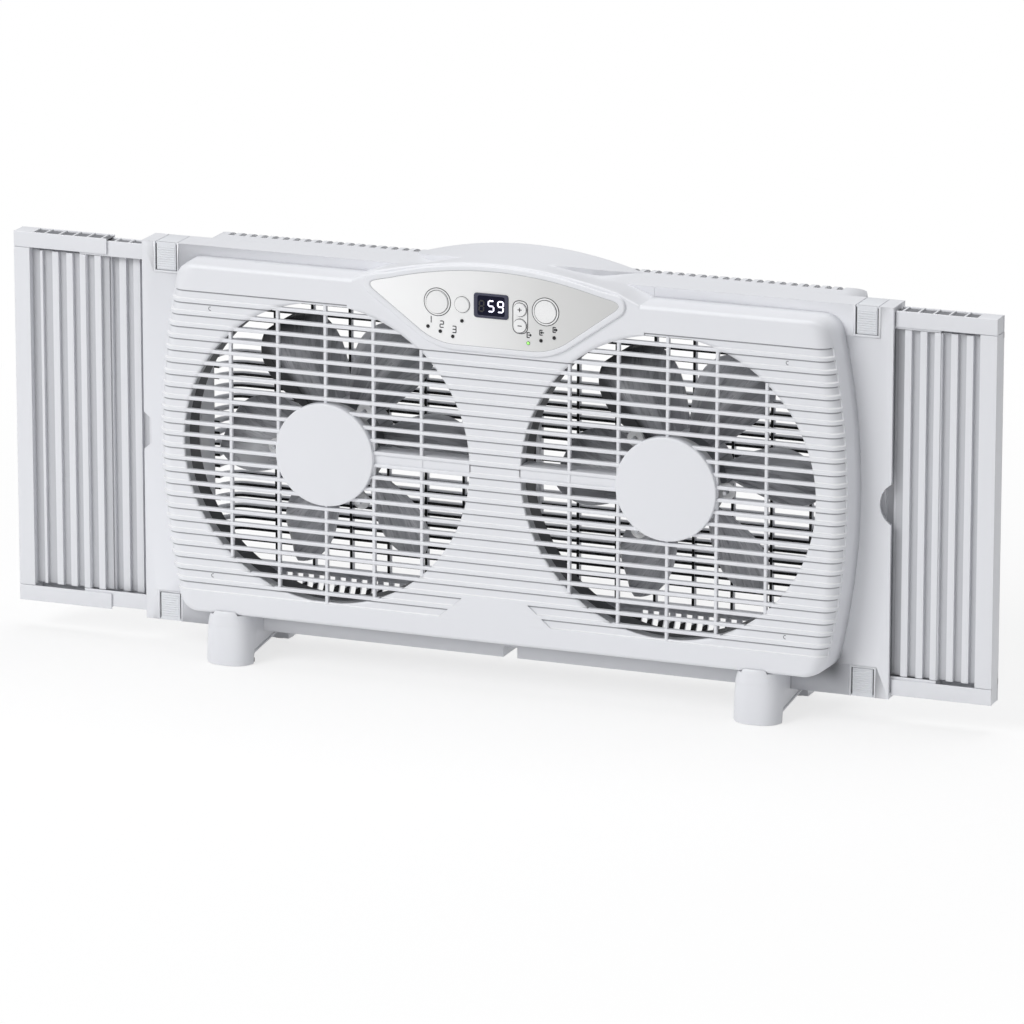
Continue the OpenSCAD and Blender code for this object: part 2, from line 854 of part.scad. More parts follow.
module main_housing() {
  color(white)
    difference() {
      union() {
        difference() {
          across(0, back_y)
            union() {
              translate([-housing_w / 2, housing_z0])
                square([housing_w, housing_h]);
              vault_2d(0);
            }
          // the window in the front plate and the fan chamber behind it
          across(-over, plate_t + over)
            union() {
              translate([-chamber_half, window_z0])
                square([2 * chamber_half, window_z1 - window_z0]);
              vault_2d(housing_wall);
            }
          across(plate_t, back_y + over)
            union() {
              translate([-chamber_half, chamber_z0])
                square([2 * chamber_half, chamber_z1 - chamber_z0]);
              vault_2d(housing_wall);
            }
          // the panel pockets
          pair()
            slab(pocket_x0, housing_w / 2 + over, plate_t, back_y - plate_t,
              mid_z - panel_in_half - slide_gap, mid_z + panel_in_half + slide_gap);
          // the skirt's hollow, open at the back
          pair()
            slab(skirt_gap / 2 + housing_wall, chamber_half, plate_t, back_y + over,
              housing_z0 + housing_wall, housing_z0 + skirt_h - housing_wall);
          // the gap in the middle of the skirt
          slab(-skirt_gap / 2, skirt_gap / 2, -over, back_y + over, housing_z0 - over,
            housing_z0 + skirt_h - housing_wall);
        }
        pair() {
          // runners behind the panel, at the top and the bottom of the pocket
          top_and_bottom()
            slab(pocket_x0 - joint_lap, housing_w / 2, panel_in_back + slide_gap,
              back_y - plate_t + joint_lap, mid_z + panel_in_half - runner_h,
              mid_z + panel_in_half + slide_gap + joint_lap);
          // corner gussets that take the shell's screws
          for (side = [-1, 1])
            slab(shell_screw_x - 9, chamber_half + joint_lap, 0, plate_t,
              side > 0 ? hub_z + shell_screw_rise - 9 : window_z0 - joint_lap,
              side > 0 ? window_z1 + joint_lap : hub_z - shell_screw_rise + 9);
          housing_screw_bosses();
          top_and_bottom()
            latch_details();
          // solid blocks in the skirt over each foot
          slab(foot_spacing / 2 - foot_bar_w / 2, foot_spacing / 2 + foot_bar_w / 2,
            plate_t - joint_lap, back_y, housing_z0 + housing_wall - joint_lap,
            housing_z0 + skirt_h - housing_wall + joint_lap);
        }
      }
      pair() {
        top_and_bottom() {
          latch_bed(slide_gap, 0);
          slab(latch_x - latch_foot_half - slide_gap, latch_x + latch_foot_half + slide_gap,
            latch_foot_y[0] - slide_gap, latch_foot_y[1] + slide_gap,
            mid_z + panel_in_half, housing_z1);
        }
        for (side = [-1, 1])
          rod(shell_screw_x, hub_z + side * shell_screw_rise, -over, plate_t + over,
            screw_r + 2 * seat_gap);
        for (z = rear_screw_z)
          rod(rear_screw_x, z, back_y - rear_screw_bite - 1, back_y + over, screw_r + seat_gap);
        for (y = foot_screw_ys)
          translate([foot_spacing / 2, y, housing_z0 - over])
            cylinder(r = screw_r + seat_gap, h = skirt_h - housing_wall);
      }
      // finger notches: round on the right, cut straight on the left
      rod(housing_w / 2 - notch_depth + notch_d / 2, mid_z, -over, plate_t + joint_lap, notch_d / 2);
      across(-over, plate_t + joint_lap)
        translate([-housing_w / 2, mid_z])
          polygon([[-over, 15], [0, 15], [6, 10], [6, -10], [0, -15], [-over, -15]]);
    }
}

// A latch: a leaf on the front, a leaf over the edge and a foot that bears on the panel's rail
module latch() {
  color([0.88, 0.89, 0.91]) {
    slab(latch_x - latch_w / 2, latch_x + latch_w / 2, 0, latch_t, housing_z1 - latch_h, housing_z1);
    slab(latch_x - latch_w / 2, latch_x + latch_w / 2, 0, housing_depth,
      housing_z1 - latch_t, housing_z1);
    slab(latch_x - latch_foot_half, latch_x + latch_foot_half, latch_foot_y[0], latch_foot_y[1],
      mid_z + panel_in_half + slide_gap, housing_z1 - latch_t + 0.1);
    grip_count = 5;
    for (i = [0:grip_count - 1])
      slab(latch_x - latch_w / 2 + 1, latch_x + latch_w / 2 - 1, -grip_h, 0.1,
        housing_z1 - latch_h + 2 + i * 3, housing_z1 - latch_h + 3.2 + i * 3);
  }
}
module lower() {
  translate([0, 0, 2 * mid_z])
    mirror([0, 0, 1])
      children();
}
module left_side() {
  mirror([1, 0, 0])
    children();
}

// ---- Rear grille ----

rear_z0 = housing_z0 + skirt_h - housing_wall;
rear_z1 = housing_z1;
rim_y = back_y + 19;
post_web_t = 2;
dome_corner = 14;
slot_drop = 21;
rear_mid = (rear_z0 + rear_z1) / 2;
louvre_count = floor((rear_z1 - rear_z0 - 2 * louvre_margin) / louvre_pitch) + 1;
upright_count = floor((rear_w / 2 - 2 * rear_round) / rear_upright_pitch);
louvre_z0 = rear_mid - (louvre_count - 1) * louvre_pitch / 2;

// The dome's solid form, g inside its outer skin
module dome_form(g, y_start) {
  r = rear_round - g;
  intersection() {
    across(y_start, rear_y - g)
      round_box(-rear_w / 2 + g, rear_w / 2 - g, rear_z0 + g, rear_z1 - g, dome_corner - g);
    translate([-rear_w / 2, 0, 0])
      rotate([90, 0, 90])
        linear_extrude(rear_w)
          difference() {
            translate([y_start, rear_z0 + g])
              square([rear_y - g - y_start, rear_z1 - rear_z0 - 2 * g]);
            translate([rear_y - g - r, rear_z0 + g + r])
              corner_waste(r, 1, -1);
            translate([rear_y - g - r, rear_z1 - g - r])
              corner_waste(r, 1, 1);
          }
    translate([0, 0, rear_z0])
      linear_extrude(rear_z1 - rear_z0)
        difference() {
          translate([-rear_w / 2 + g, y_start])
            square([rear_w - 2 * g, rear_y - g - y_start]);
          translate([-rear_w / 2 + g + r, rear_y - g - r])
            corner_waste(r, -1, 1);
          translate([rear_w / 2 - g - r, rear_y - g - r])
            corner_waste(r, 1, 1);
        }
  }
}

slot_end_x = [84, rear_w / 2 - 12];
module edge_slots() {
  count = floor((slot_end_x[1] - slot_end_x[0]) / slot_pitch);
  for (i = [0:count - 1])
    slab(slot_end_x[0] + i * slot_pitch, slot_end_x[0] + i * slot_pitch + slot_w,
      back_y + 15, rear_y + over, rear_z1 - slot_drop, rear_z1 + over);
}

module rear_grille() {
  color(white)
    difference() {
      union() {
        difference() {
          dome_form(0, back_y);
          dome_form(rear_wall, back_y - over);
          // the louvred field, open at the back and round both ends
          slab(-rear_w / 2 - over, rear_w / 2 + over, rim_y, rear_y + over,
            louvre_z0, louvre_z0 + (louvre_count - 1) * louvre_pitch);
          pair() {
            edge_slots();
            translate([0, 0, 2 * rear_mid])
              mirror([0, 0, 1])
                edge_slots();
          }
        }
        // louvre blades
        intersection() {
          difference() {
            dome_form(0, back_y);
            dome_form(louvre_depth, back_y - over);
          }
          for (k = [0:louvre_count - 1])
            slab(-rear_w / 2, rear_w / 2, rim_y - joint_lap, rear_y,
              louvre_z0 + k * louvre_pitch - louvre_t / 2,
              louvre_z0 + k * louvre_pitch + louvre_t / 2);
        }
        // uprights that tie the blades
        for (i = [-upright_count:upright_count])
          slab(i * rear_upright_pitch - louvre_t / 2, i * rear_upright_pitch + louvre_t / 2,
            rear_y - louvre_depth - joint_lap, rear_y - rear_wall, louvre_z0 - louvre_t / 2,
            louvre_z0 + (louvre_count - 1) * louvre_pitch + louvre_t / 2);
        // the deep rib between the two fans
        slab(-divider_t / 2, divider_t / 2, rear_y - rear_wall - divider_depth,
          rear_y - rear_wall, rear_z0 + rear_wall - joint_lap, rear_z1 - rear_wall + joint_lap);
        // posts for the rear screws
        pair()
          for (z = rear_screw_z) {
              rod(rear_screw_x, z, back_y, rear_y - 5, boss_r + 1);
              slab(rear_screw_x, rear_w / 2 - rear_wall + joint_lap, back_y, rim_y,
                z - post_web_t / 2, z + post_web_t / 2);
            }
        // the vault's tail
        difference() {
          across(back_y, back_y + 13)
            vault_2d(0);
          across(back_y - over, back_y + 13 - rear_wall)
            vault_2d(rear_wall);
          slab(-vault_half - over, vault_half + over, back_y - over, rear_y, rear_z0,
            rear_z1 - rear_wall);
        }
      }
      across(back_y - over, back_y + 13 - rear_wall)
        difference() {
          vault_2d(rear_wall);
          translate([-vault_half - over, rear_z0])
            square([2 * vault_half + 2 * over, rear_z1 - 2 * rear_wall - rear_z0]);
        }
      pair()
        for (z = rear_screw_z) {
          rod(rear_screw_x, z, back_y - over, rear_y, screw_r + 2 * seat_gap);
          rod(rear_screw_x, z, back_y + rear_screw_seat, rear_y + over, screw_head_r + slide_gap);
        }
      rod(inlet_x, inlet_z, rear_y - 2 * rear_wall, rear_y + over, inlet_r + seat_gap);
    }
}

inlet_x = 40;
inlet_z = rear_z0 + 12;
inlet_r = 6;
module cord_inlet() {
  color([0.85, 0.85, 0.86])
    translate([inlet_x, rear_y - 2 * rear_wall, inlet_z])
      rotate([-90, 0, 0])
        difference() {
          cylinder(r = inlet_r, h = 2 * rear_wall);
          translate([0, 0, -over])
            cylinder(r = inlet_r / 2, h = 2 * rear_wall + 2 * over);
        }
}

// ---- Side panels, drawn for the right side with their outer end at X = 0 ----

function rib_count(length) = floor(length / rib_pitch);

pocket_wall = 1.5;
rail_pocket = 8;
module rail_pockets(z_top, y0, y1, x_end) {
  for (i = [1:rib_count(panel_w - x_end)])
    slab(-x_end - i * rib_pitch + pocket_wall, -x_end - (i - 1) * rib_pitch, y0, y1,
      z_top - rail_pocket, z_top + over);
}

inner_stile = 5;
inner_web_y = panel_in_back - 4.7;
module inner_panel() {
  rail_z = panel_in_half - rail_h;
  color(white)
    translate([0, 0, mid_z]) {
      difference() {
        union() {
          for (side = [-1, 1])
            slab(-panel_w, 0, panel_in_front, panel_in_back,
              side > 0 ? rail_z : -panel_in_half, side > 0 ? panel_in_half : -rail_z);
          slab(-panel_w, 0, inner_web_y, inner_web_y + web_t, -rail_z - joint_lap,
            rail_z + joint_lap);
          for (x = [0, inner_stile - panel_w])
            slab(x - inner_stile, x, inner_web_y - rib_h, panel_in_back, -rail_z - joint_lap,
              rail_z + joint_lap);
          for (i = [1:rib_count(panel_w - inner_stile)])
            slab(-i * rib_pitch - rib_w / 2, -i * rib_pitch + rib_w / 2, inner_web_y - rib_h,
              inner_web_y + web_t / 2, -rail_z - joint_lap, rail_z + joint_lap);
        }
        for (side = [0, 1])
          mirror([0, 0, side])
            rail_pockets(panel_in_half, panel_in_front + pocket_wall,
              panel_in_back - pocket_wall, inner_stile);
      }
    }
}

free_strip = 2.5;
slit_w = 3;
module outer_panel() {
  lip_z = panel_half - rail_h;
  back_lip_z = lip_z - 5;
  web_y = inner_web_y - rib_h - slide_gap - web_t;
  web_z = panel_in_half - rail_h - slide_gap;
  color(white)
    translate([0, 0, mid_z])
      difference() {
        union() {
          // the stile at the window's jamb
          slab(-stile_w, 0, panel_front, panel_back, -panel_half, panel_half);
          for (side = [0, 1])
            mirror([0, 0, side]) {
              // the sleeve round the inner panel's rail: top wall, front lip and back lip
              slab(-panel_w, -stile_w + joint_lap, panel_front, panel_back,
                panel_half - sleeve_wall, panel_half);
              slab(-panel_w, -stile_w + joint_lap, panel_front, panel_front + sleeve_wall,
                lip_z, panel_half - sleeve_wall + joint_lap);
              slab(-panel_w, -stile_w + joint_lap, panel_back - sleeve_wall, panel_back,
                back_lip_z, panel_half - sleeve_wall + joint_lap);
            }
          // the web, its ribs and the rib at its free end
          slab(-panel_w, -stile_w + joint_lap, web_y, web_y + web_t, -web_z, web_z);
          for (i = [0:rib_count(panel_w - stile_w - slit_w - rib_w)])
            slab(-stile_w - slit_w - i * rib_pitch - rib_w, -stile_w - slit_w - i * rib_pitch,
              web_y - rib_h, web_y + web_t / 2, -web_z, web_z);
          slab(-panel_w, -panel_w + free_strip, panel_front, panel_front + sleeve_wall,
            -lip_z - joint_lap, lip_z + joint_lap);
          slab(-panel_w, -panel_w + free_strip, panel_front, web_y + web_t, -web_z, web_z);
        }
        for (side = [0, 1])
          mirror([0, 0, side]) {
            for (i = [0:rib_count(panel_w - stile_w) - 1])
              slab(-stile_w - (i + 1) * rib_pitch + pocket_wall, -stile_w - i * rib_pitch,
                panel_front + 2 * sleeve_wall, panel_back - 2 * sleeve_wall,
                panel_half - sleeve_wall - over, panel_half + over);
            translate([-stile_w / 2, panel_front + panel_depth / 2, panel_half - rail_h])
              cylinder(r = stile_w / 4, h = rail_h + over);
          }
      }
}

right_inner_x = housing_w / 2 + right_inner_out;
right_outer_x = right_inner_x + right_outer_out;
left_inner_x = housing_w / 2 + left_inner_out;
left_outer_x = left_inner_x + left_outer_out;

// ---- Motors and fan wheels, drawn for the right side ----

mount_t = 2.5;
mount_rim_l = 8;
mount_rim_t = 2;
motor_y = mount_y + mount_t + slide_gap;
cap_t = 3;
module motor_mount() {
  rim_r = motor_d / 2 + slide_gap;
  arm_half = lug_end_r - 1;
  color(white) {
    across(mount_y, mount_y + mount_t)
      translate([hub_x, hub_z])
        difference() {
          union() {
            circle(rim_r + mount_rim_t);
            for (a = lug_angles)
              rotate(180 - a) {
                translate([lug_r, 0])
                  circle(lug_end_r);
                translate([motor_d / 4, -arm_half])
                  square([lug_r - motor_d / 4, 2 * arm_half]);
              }
          }
          circle(bush_d / 2 + seat_gap);
          for (a = lug_angles)
            rotate(180 - a)
              translate([lug_r, 0])
                circle(screw_r + 2 * seat_gap);
        }
    across(mount_y + mount_t - joint_lap, mount_y + mount_rim_l)
      translate([hub_x, hub_z])
        difference() {
          circle(rim_r + mount_rim_t - joint_lap);
          circle(rim_r);
        }
  }
}

armature_gap = 0.5;
module motor() {
  color([0.55, 0.56, 0.58])
    difference() {
      rod(hub_x, hub_z, motor_y, motor_y + motor_l, motor_d / 2);
      rod(hub_x, hub_z, motor_y - over, motor_y + motor_l + over, armature_d / 2 + armature_gap);
    }
}

cap_y = motor_y + motor_l;
module motor_cap() {
  color([0.6, 0.61, 0.63])
    difference() {
      rod(hub_x, hub_z, cap_y, cap_y + cap_t, motor_d / 2);
      rod(hub_x, hub_z, cap_y - over, cap_y + cap_t + over, bush_d / 2 + seat_gap);
    }
}

module bush(y) {
  difference() {
    rod(hub_x, hub_z, y, y + bush_l, bush_d / 2);
    rod(hub_x, hub_z, y - over, y + bush_l + over, shaft_d / 2 + running_gap);
  }
}
front_bush_y = mount_y - 1;
rear_bush_y = cap_y - (bush_l - cap_t) + 1;
module shaft_bushes() {
  color([0.72, 0.55, 0.3])
    pair() {
      bush(front_bush_y);
      bush(rear_bush_y);
    }
}

armature_y = front_bush_y + bush_l + 2;
armature_l = rear_bush_y - armature_y - 2;
module armature() {
  color([0.5, 0.5, 0.52])
    difference() {
      rod(hub_x, hub_z, armature_y, armature_y + armature_l, armature_d / 2);
      rod(hub_x, hub_z, armature_y - over, armature_y + armature_l + over,
        shaft_d / 2 + 0.02);
    }
}

wheel_y = rear_bush_y + bush_l + 1.5;
wheel_end = wheel_y + wheel_hub_l;
nut_l = 4.5;
nut_r = 7;
module shaft() {
  color(steel)
    rod(hub_x, hub_z, front_bush_y + 0.5, wheel_end + nut_l + 1, shaft_d / 2);
}

module fan_nut() {
  color(steel)
    difference() {
      translate([hub_x, wheel_end + 0.2 + nut_l, hub_z])
        rotate([90, 0, 0])
          cylinder(r = nut_r, h = nut_l, $fn = 6);
      rod(hub_x, hub_z, wheel_end, wheel_end + nut_l + over, shaft_d / 2 + running_gap);
    }
}

// A petal is a grid of points: i runs out along the radius and j runs across it
petal_rows = 9;
petal_cols = 6;
petal_root = wheel_hub_d / 2 - 1.5;
petal_root_half = 13;
petal_half = 38;
petal_camber = 3;
petal_spread = 1.5;
petal_tip_cut = 0.88;
petal_tip_power = 6;
function petal_width(s) =
  (petal_root_half + (petal_half - petal_root_half) * sin(min(s * petal_spread, 1) * 90))
  * sqrt(1 - pow(s, petal_tip_power) * petal_tip_cut);
function petal_point(i, j, lift) =
  let (
    s = i / petal_rows,
    v = -1 + 2 * j / petal_cols,
    r = petal_root + (fan_d / 2 - petal_root) * s,
    a = 90 + v * petal_width(s) / r * 180 / PI,
    y = v * blade_pitch_depth * (1 + 0.1 * (1 - s)) - petal_camber * (1 - v * v) + lift
  )
  [r * cos(a), y, r * sin(a)];
module petal() {
  m = petal_cols + 1;
  n = (petal_rows + 1) * m;
  polyhedron(
    points = concat(
      [for (i = [0:petal_rows], j = [0:petal_cols]) petal_point(i, j, -blade_t / 2)],
      [for (i = [0:petal_rows], j = [0:petal_cols]) petal_point(i, j, blade_t / 2)]
    ),
    faces = concat(
      [for (i = [0:petal_rows - 1], j = [0:petal_cols - 1])
        let (a = i * m + j, b = a + m, c = b + 1, d = a + 1)
        each [[a, d, c], [a, c, b], [a + n, c + n, d + n], [a + n, b + n, c + n]]],
      [for (i = [0:petal_rows - 1])
        let (a = i * m, b = a + m)
        each [[a + n, a, b], [a + n, b, b + n]]],
      [for (i = [0:petal_rows - 1])
        let (d = i * m + petal_cols, c = d + m)
        each [[d, d + n, c + n], [d, c + n, c]]],
      [for (j = [0:petal_cols - 1])
        let (a = j, d = j + 1)
        each [[a, a + n, d + n], [a, d + n, d]]],
      [for (j = [0:petal_cols - 1])
        let (b = petal_rows * m + j, c = b + 1)
        each [[b, c, c + n], [b, c + n, b + n]]]
    )
  );
}

wheel_wall = 3;
wheel_boss_r = 8;
module fan() {
  color(smoke)
    difference() {
      union() {
        difference() {
          rod(hub_x, hub_z, wheel_y, wheel_end, wheel_hub_d / 2);
          rod(hub_x, hub_z, wheel_y - over, wheel_end - wheel_wall,
            wheel_hub_d / 2 - wheel_wall);
        }
        rod(hub_x, hub_z, wheel_y + 2, wheel_end, wheel_boss_r);
        for (i = [0:blade_count - 1])
          translate([hub_x, wheel_y + wheel_hub_l / 2 + petal_camber / 2, hub_z])
            rotate([0, 90 - blade_phase - i * 360 / blade_count, 0])
              petal();
      }
      rod(hub_x, hub_z, wheel_y - over, wheel_end + over, shaft_d / 2 + 0.02);
    }
}

module motor_screws() {
  color(steel)
    pair()
      lug_spots() {
        rod(0, 0, mount_y - 6, mount_y + mount_t, screw_r);
        rod(0, 0, mount_y + mount_t, mount_y + mount_t + screw_head_h, screw_head_r);
      }
}

// A motor's lead: out of the can, along the wire channel, up to the board's connector
lead_drop = 12;
lead_up_x = 8;
lead_bend = 5;
lead_sides = 10;
function unit(v) = v / norm(v);
// The route with each corner turned into a bend
function soft_route(points) = concat(
  [points[0]],
  [for (i = [1:len(points) - 2])
    let (p = points[i], back = unit(points[i - 1] - p), on = unit(points[i + 1] - p))
    each bend(p + back * lead_bend, p, p + on * lead_bend, 5)],
  [points[len(points) - 1]]
);
function tube_rings(points, r) = [for (i = [0:len(points) - 1])
  let (
    t = unit(points[min(i + 1, len(points) - 1)] - points[max(i - 1, 0)]),
    u = unit(cross(t, [0, 1, 0])),
    w = cross(t, u)
  )
  [for (k = [0:lead_sides - 1]) let (a = 360 * k / lead_sides)
    points[i] + r * (cos(a) * u + sin(a) * w)]];
module motor_leads() {
  start_x = hub_x - motor_d / 2 - seat_gap;
  color([0.2, 0.2, 0.22])
    pair()
      loft(tube_rings(soft_route([
        [start_x, motor_y + motor_l / 2 + 2, lead_z],
        [start_x - 7, motor_y + motor_l / 2 + 2, lead_z],
        [start_x - 7 - lead_drop, lead_y, lead_z],
        [lead_up_x, lead_y, lead_z],
        [lead_up_x, lead_y, ctl_z + board_low - seat_gap]
      ]), lead_r));
}

// ---- Feet ----

boot_top = shell_z0 - slide_gap;
arc_steps = 16;
boot_nose = 14;                // depth of the round front in plan
slice_t = 0.1;
// The boot's height, how far its sides come in there and how far its front leans back
boot_levels = [
  [pad_proud, 0.6, 0.6], [pad_proud + 4, 0, 0], [boot_top - 24, 0.4, 0.4],
  [boot_top - 13, 1.6, 4], [boot_top - 6, 3.4, 9], [boot_top - 2, 5.5, 15],
  [boot_top - slice_t, 8, 20]
];
// The boot's plan, its sides in by g and its front back by lean
module boot_plan(g, lean) {
  half = foot_w / 2 - g;
  front = toe_reach - lean;
  nose = min(boot_nose, front - 1);
  polygon(concat(
    [for (i = [0:arc_steps]) let (t = 180 * i / arc_steps)
      [half * cos(t), -front + nose * (1 - sin(t))]],
    [[-half, -slide_gap], [half, -slide_gap]]
  ));
}
module foot() {
  color(white)
    translate([foot_spacing / 2, 0, 0])
      difference() {
        union() {
          hull()
            for (level = boot_levels)
              translate([0, 0, level[0]])
                linear_extrude(slice_t)
                  boot_plan(level[1], level[2]);
          slab(-foot_bar_w / 2, foot_bar_w / 2, -over, heel_reach, foot_bar_rise,
            housing_z0 - 0.1);
          slab(-foot_bar_w / 2, foot_bar_w / 2, heel_reach - heel_l, heel_reach, pad_proud,
            foot_bar_rise + over);
        }
        for (y = [-toe_reach / 2, heel_reach - 12])
          translate([0, y, 0])
            cylinder(r = pad_r + seat_gap, h = pad_t + seat_gap);
        for (y = foot_screw_ys) {
          translate([0, y, 0])
            cylinder(r = screw_head_r + slide_gap, h = housing_z0 / 2);
          translate([0, y, 0])
            cylinder(r = screw_r + 2 * seat_gap, h = housing_z0 + over);
        }
      }
}

module foot_pads() {
  color([0.25, 0.25, 0.26])
    pair()
      for (y = [-toe_reach / 2, heel_reach - 12])
        translate([foot_spacing / 2, y, 0])
          cylinder(r = pad_r, h = pad_t);
}

module foot_screws() {
  color(steel)
    pair()
      for (y = foot_screw_ys)
        translate([foot_spacing / 2, y, housing_z0 / 2]) {
          translate([0, 0, -screw_head_h])
            cylinder(r = screw_head_r, h = screw_head_h);
          cylinder(r = screw_r, h = housing_z0 / 2 + skirt_h / 2);
        }
}

module shell_screws() {
  color(steel)
    pair()
      for (side = [-1, 1]) {
        rod(shell_screw_x, hub_z + side * shell_screw_rise, -shell_screw_bite, plate_t, screw_r);
        rod(shell_screw_x, hub_z + side * shell_screw_rise, plate_t, plate_t + screw_head_h,
          screw_head_r);
      }
}

module rear_screws() {
  color(steel)
    pair()
      for (z = rear_screw_z) {
        rod(rear_screw_x, z, back_y - rear_screw_bite, back_y + rear_screw_seat, screw_r);
        rod(rear_screw_x, z, back_y + rear_screw_seat, back_y + rear_screw_seat + screw_head_h,
          screw_head_r);
      }
}

// The whole fan stands with its box's bottom centre at the origin
shift_x = (left_outer_x - right_outer_x) / 2;
shift_y = (toe_reach - heel_reach) / 2;
module place() {
  translate([shift_x, shift_y, 0])
    children();
}

place() front_shell();
place() main_housing();
place() rear_grille();
place() control_lens();
place() display_window();
place() display_module();
place() control_board();
place() tact_switches();
place() status_lights();
place() ir_receiver();
place() temperature_sensor();
place() board_screws();
place() button(0);  // speed_button
place() button(1);  // mode_button
place() button(2);  // plus_button
place() button(3);  // minus_button
place() button(4);  // airflow_button
place() left_side() motor_mount();  // left_motor_mount
place() motor_mount();  // right_motor_mount
place() left_side() motor();  // left_motor
place() motor();  // right_motor
place() left_side() motor_cap();  // left_motor_cap
place() motor_cap();  // right_motor_cap
place() shaft_bushes();
place() motor_screws();
place() motor_leads();
place() left_side() armature();  // left_armature
place() armature();  // right_armature
place() left_side() shaft();  // left_shaft
place() shaft();  // right_shaft
place() translate([-fan_spacing, 0, 0]) fan();  // left_fan
place() fan();  // right_fan
place() left_side() fan_nut();  // left_fan_nut
place() fan_nut();  // right_fan_nut
place() left_side() translate([left_inner_x, 0, 0]) inner_panel();  // left_inner_panel
place() left_side() translate([left_outer_x, 0, 0]) outer_panel();  // left_outer_panel
place() translate([right_inner_x, 0, 0]) inner_panel();  // right_inner_panel
place() translate([right_outer_x, 0, 0]) outer_panel();  // right_outer_panel
place() left_side() latch();  // top_left_latch
place() left_side() lower() latch();  // bottom_left_latch
place() latch();  // top_right_latch
place() lower() latch();  // bottom_right_latch
place() left_side() foot();  // left_foot
place() foot();  // right_foot
place() foot_pads();
place() foot_screws();
place() shell_screws();
place() rear_screws();
place() cord_inlet();
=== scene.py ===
# Twin window fan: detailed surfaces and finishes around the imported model
import itertools
import json
import math

import bmesh
import bpy
import numpy as np
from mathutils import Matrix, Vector


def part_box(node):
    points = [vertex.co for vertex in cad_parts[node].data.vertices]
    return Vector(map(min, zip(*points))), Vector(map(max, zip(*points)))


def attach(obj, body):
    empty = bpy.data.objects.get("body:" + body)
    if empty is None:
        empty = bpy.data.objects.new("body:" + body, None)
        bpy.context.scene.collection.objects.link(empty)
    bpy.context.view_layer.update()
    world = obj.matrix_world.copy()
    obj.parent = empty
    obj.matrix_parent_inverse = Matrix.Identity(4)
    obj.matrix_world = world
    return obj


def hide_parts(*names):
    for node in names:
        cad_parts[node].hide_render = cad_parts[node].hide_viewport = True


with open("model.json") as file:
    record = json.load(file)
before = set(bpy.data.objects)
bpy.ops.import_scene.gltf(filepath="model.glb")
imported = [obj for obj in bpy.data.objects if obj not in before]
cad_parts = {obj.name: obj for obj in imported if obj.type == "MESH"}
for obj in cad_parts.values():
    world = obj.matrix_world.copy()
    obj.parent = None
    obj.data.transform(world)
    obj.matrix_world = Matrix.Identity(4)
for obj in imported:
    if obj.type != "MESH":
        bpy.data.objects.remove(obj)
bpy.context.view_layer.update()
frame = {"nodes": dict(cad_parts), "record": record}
cadNodes = frame["nodes"]

# Sizes below are in millimetres from the middle of the face: x to the right, y back from the
# housing's front plate, z up from the floor. place() turns them into the model's metres.
layout = {
    "hubX": 141.0,
    "hubZ": 179.0,
    "faceY": -34.0,
    "hubFrontY": -36.5,
    "petals": 6,
    "petalPhase": 2.5,
}
sides = {"left": -1, "right": 1}
shellLow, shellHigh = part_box("front_shell")
shift = np.array([
    (shellLow.x + shellHigh.x) / 2,
    shellLow.y - layout["hubFrontY"] / 1000,
    0.0,
])


def place(points):
    return np.asarray(points, float).reshape(-1, 3) / 1000 + shift


shell = {
    "width": 537.0, "bottom": 41.0, "top": 320.5, "bulge": 17.5, "corner": 16.0,
    "draft": 3.0, "sideRound": 11.0, "edgeRound": 3.0, "wall": 2.4, "depth": 34.0,
}
grooves = {
    "count": 25, "pitch": 9.78, "height": 6.7, "depth": 1.5, "top": 120.8, "endY": -25.0,
    "lowLand": -122.3, "highLand": 124.4, "controlRows": 3,
    "fieldHigh": (-104.1, 27.4), "fieldLow": (-121.5, 47.7),
}


class Wire:
    # the output of a shader node, so that sums of nodes are written as Python sums
    def __init__(self, paint, out):
        self.paint = paint
        self.out = out

    def math(self, operation, *values):
        return self.paint.node("Math", {"operation": operation}, values)

    def step(self, low, high):
        # 0 below low, 1 above high, smooth between
        values = {"Value": self, "From Min": low, "From Max": high}
        return self.paint.node("MapRange", {"interpolation_type": "SMOOTHSTEP"}, values)

    def fraction(self):
        return self - self.math("FLOOR", self)

    def capped(self):
        return self.math("MINIMUM", self, 1.0)

    def __add__(self, other):
        return self.math("ADD", self, other)

    def __sub__(self, other):
        return self.math("SUBTRACT", self, other)

    def __rsub__(self, other):
        return self.math("SUBTRACT", other, self)

    def __mul__(self, other):
        return self.math("MULTIPLY", self, other)

    def __truediv__(self, other):
        return self.math("DIVIDE", self, other)

    __radd__ = __add__
    __rmul__ = __mul__


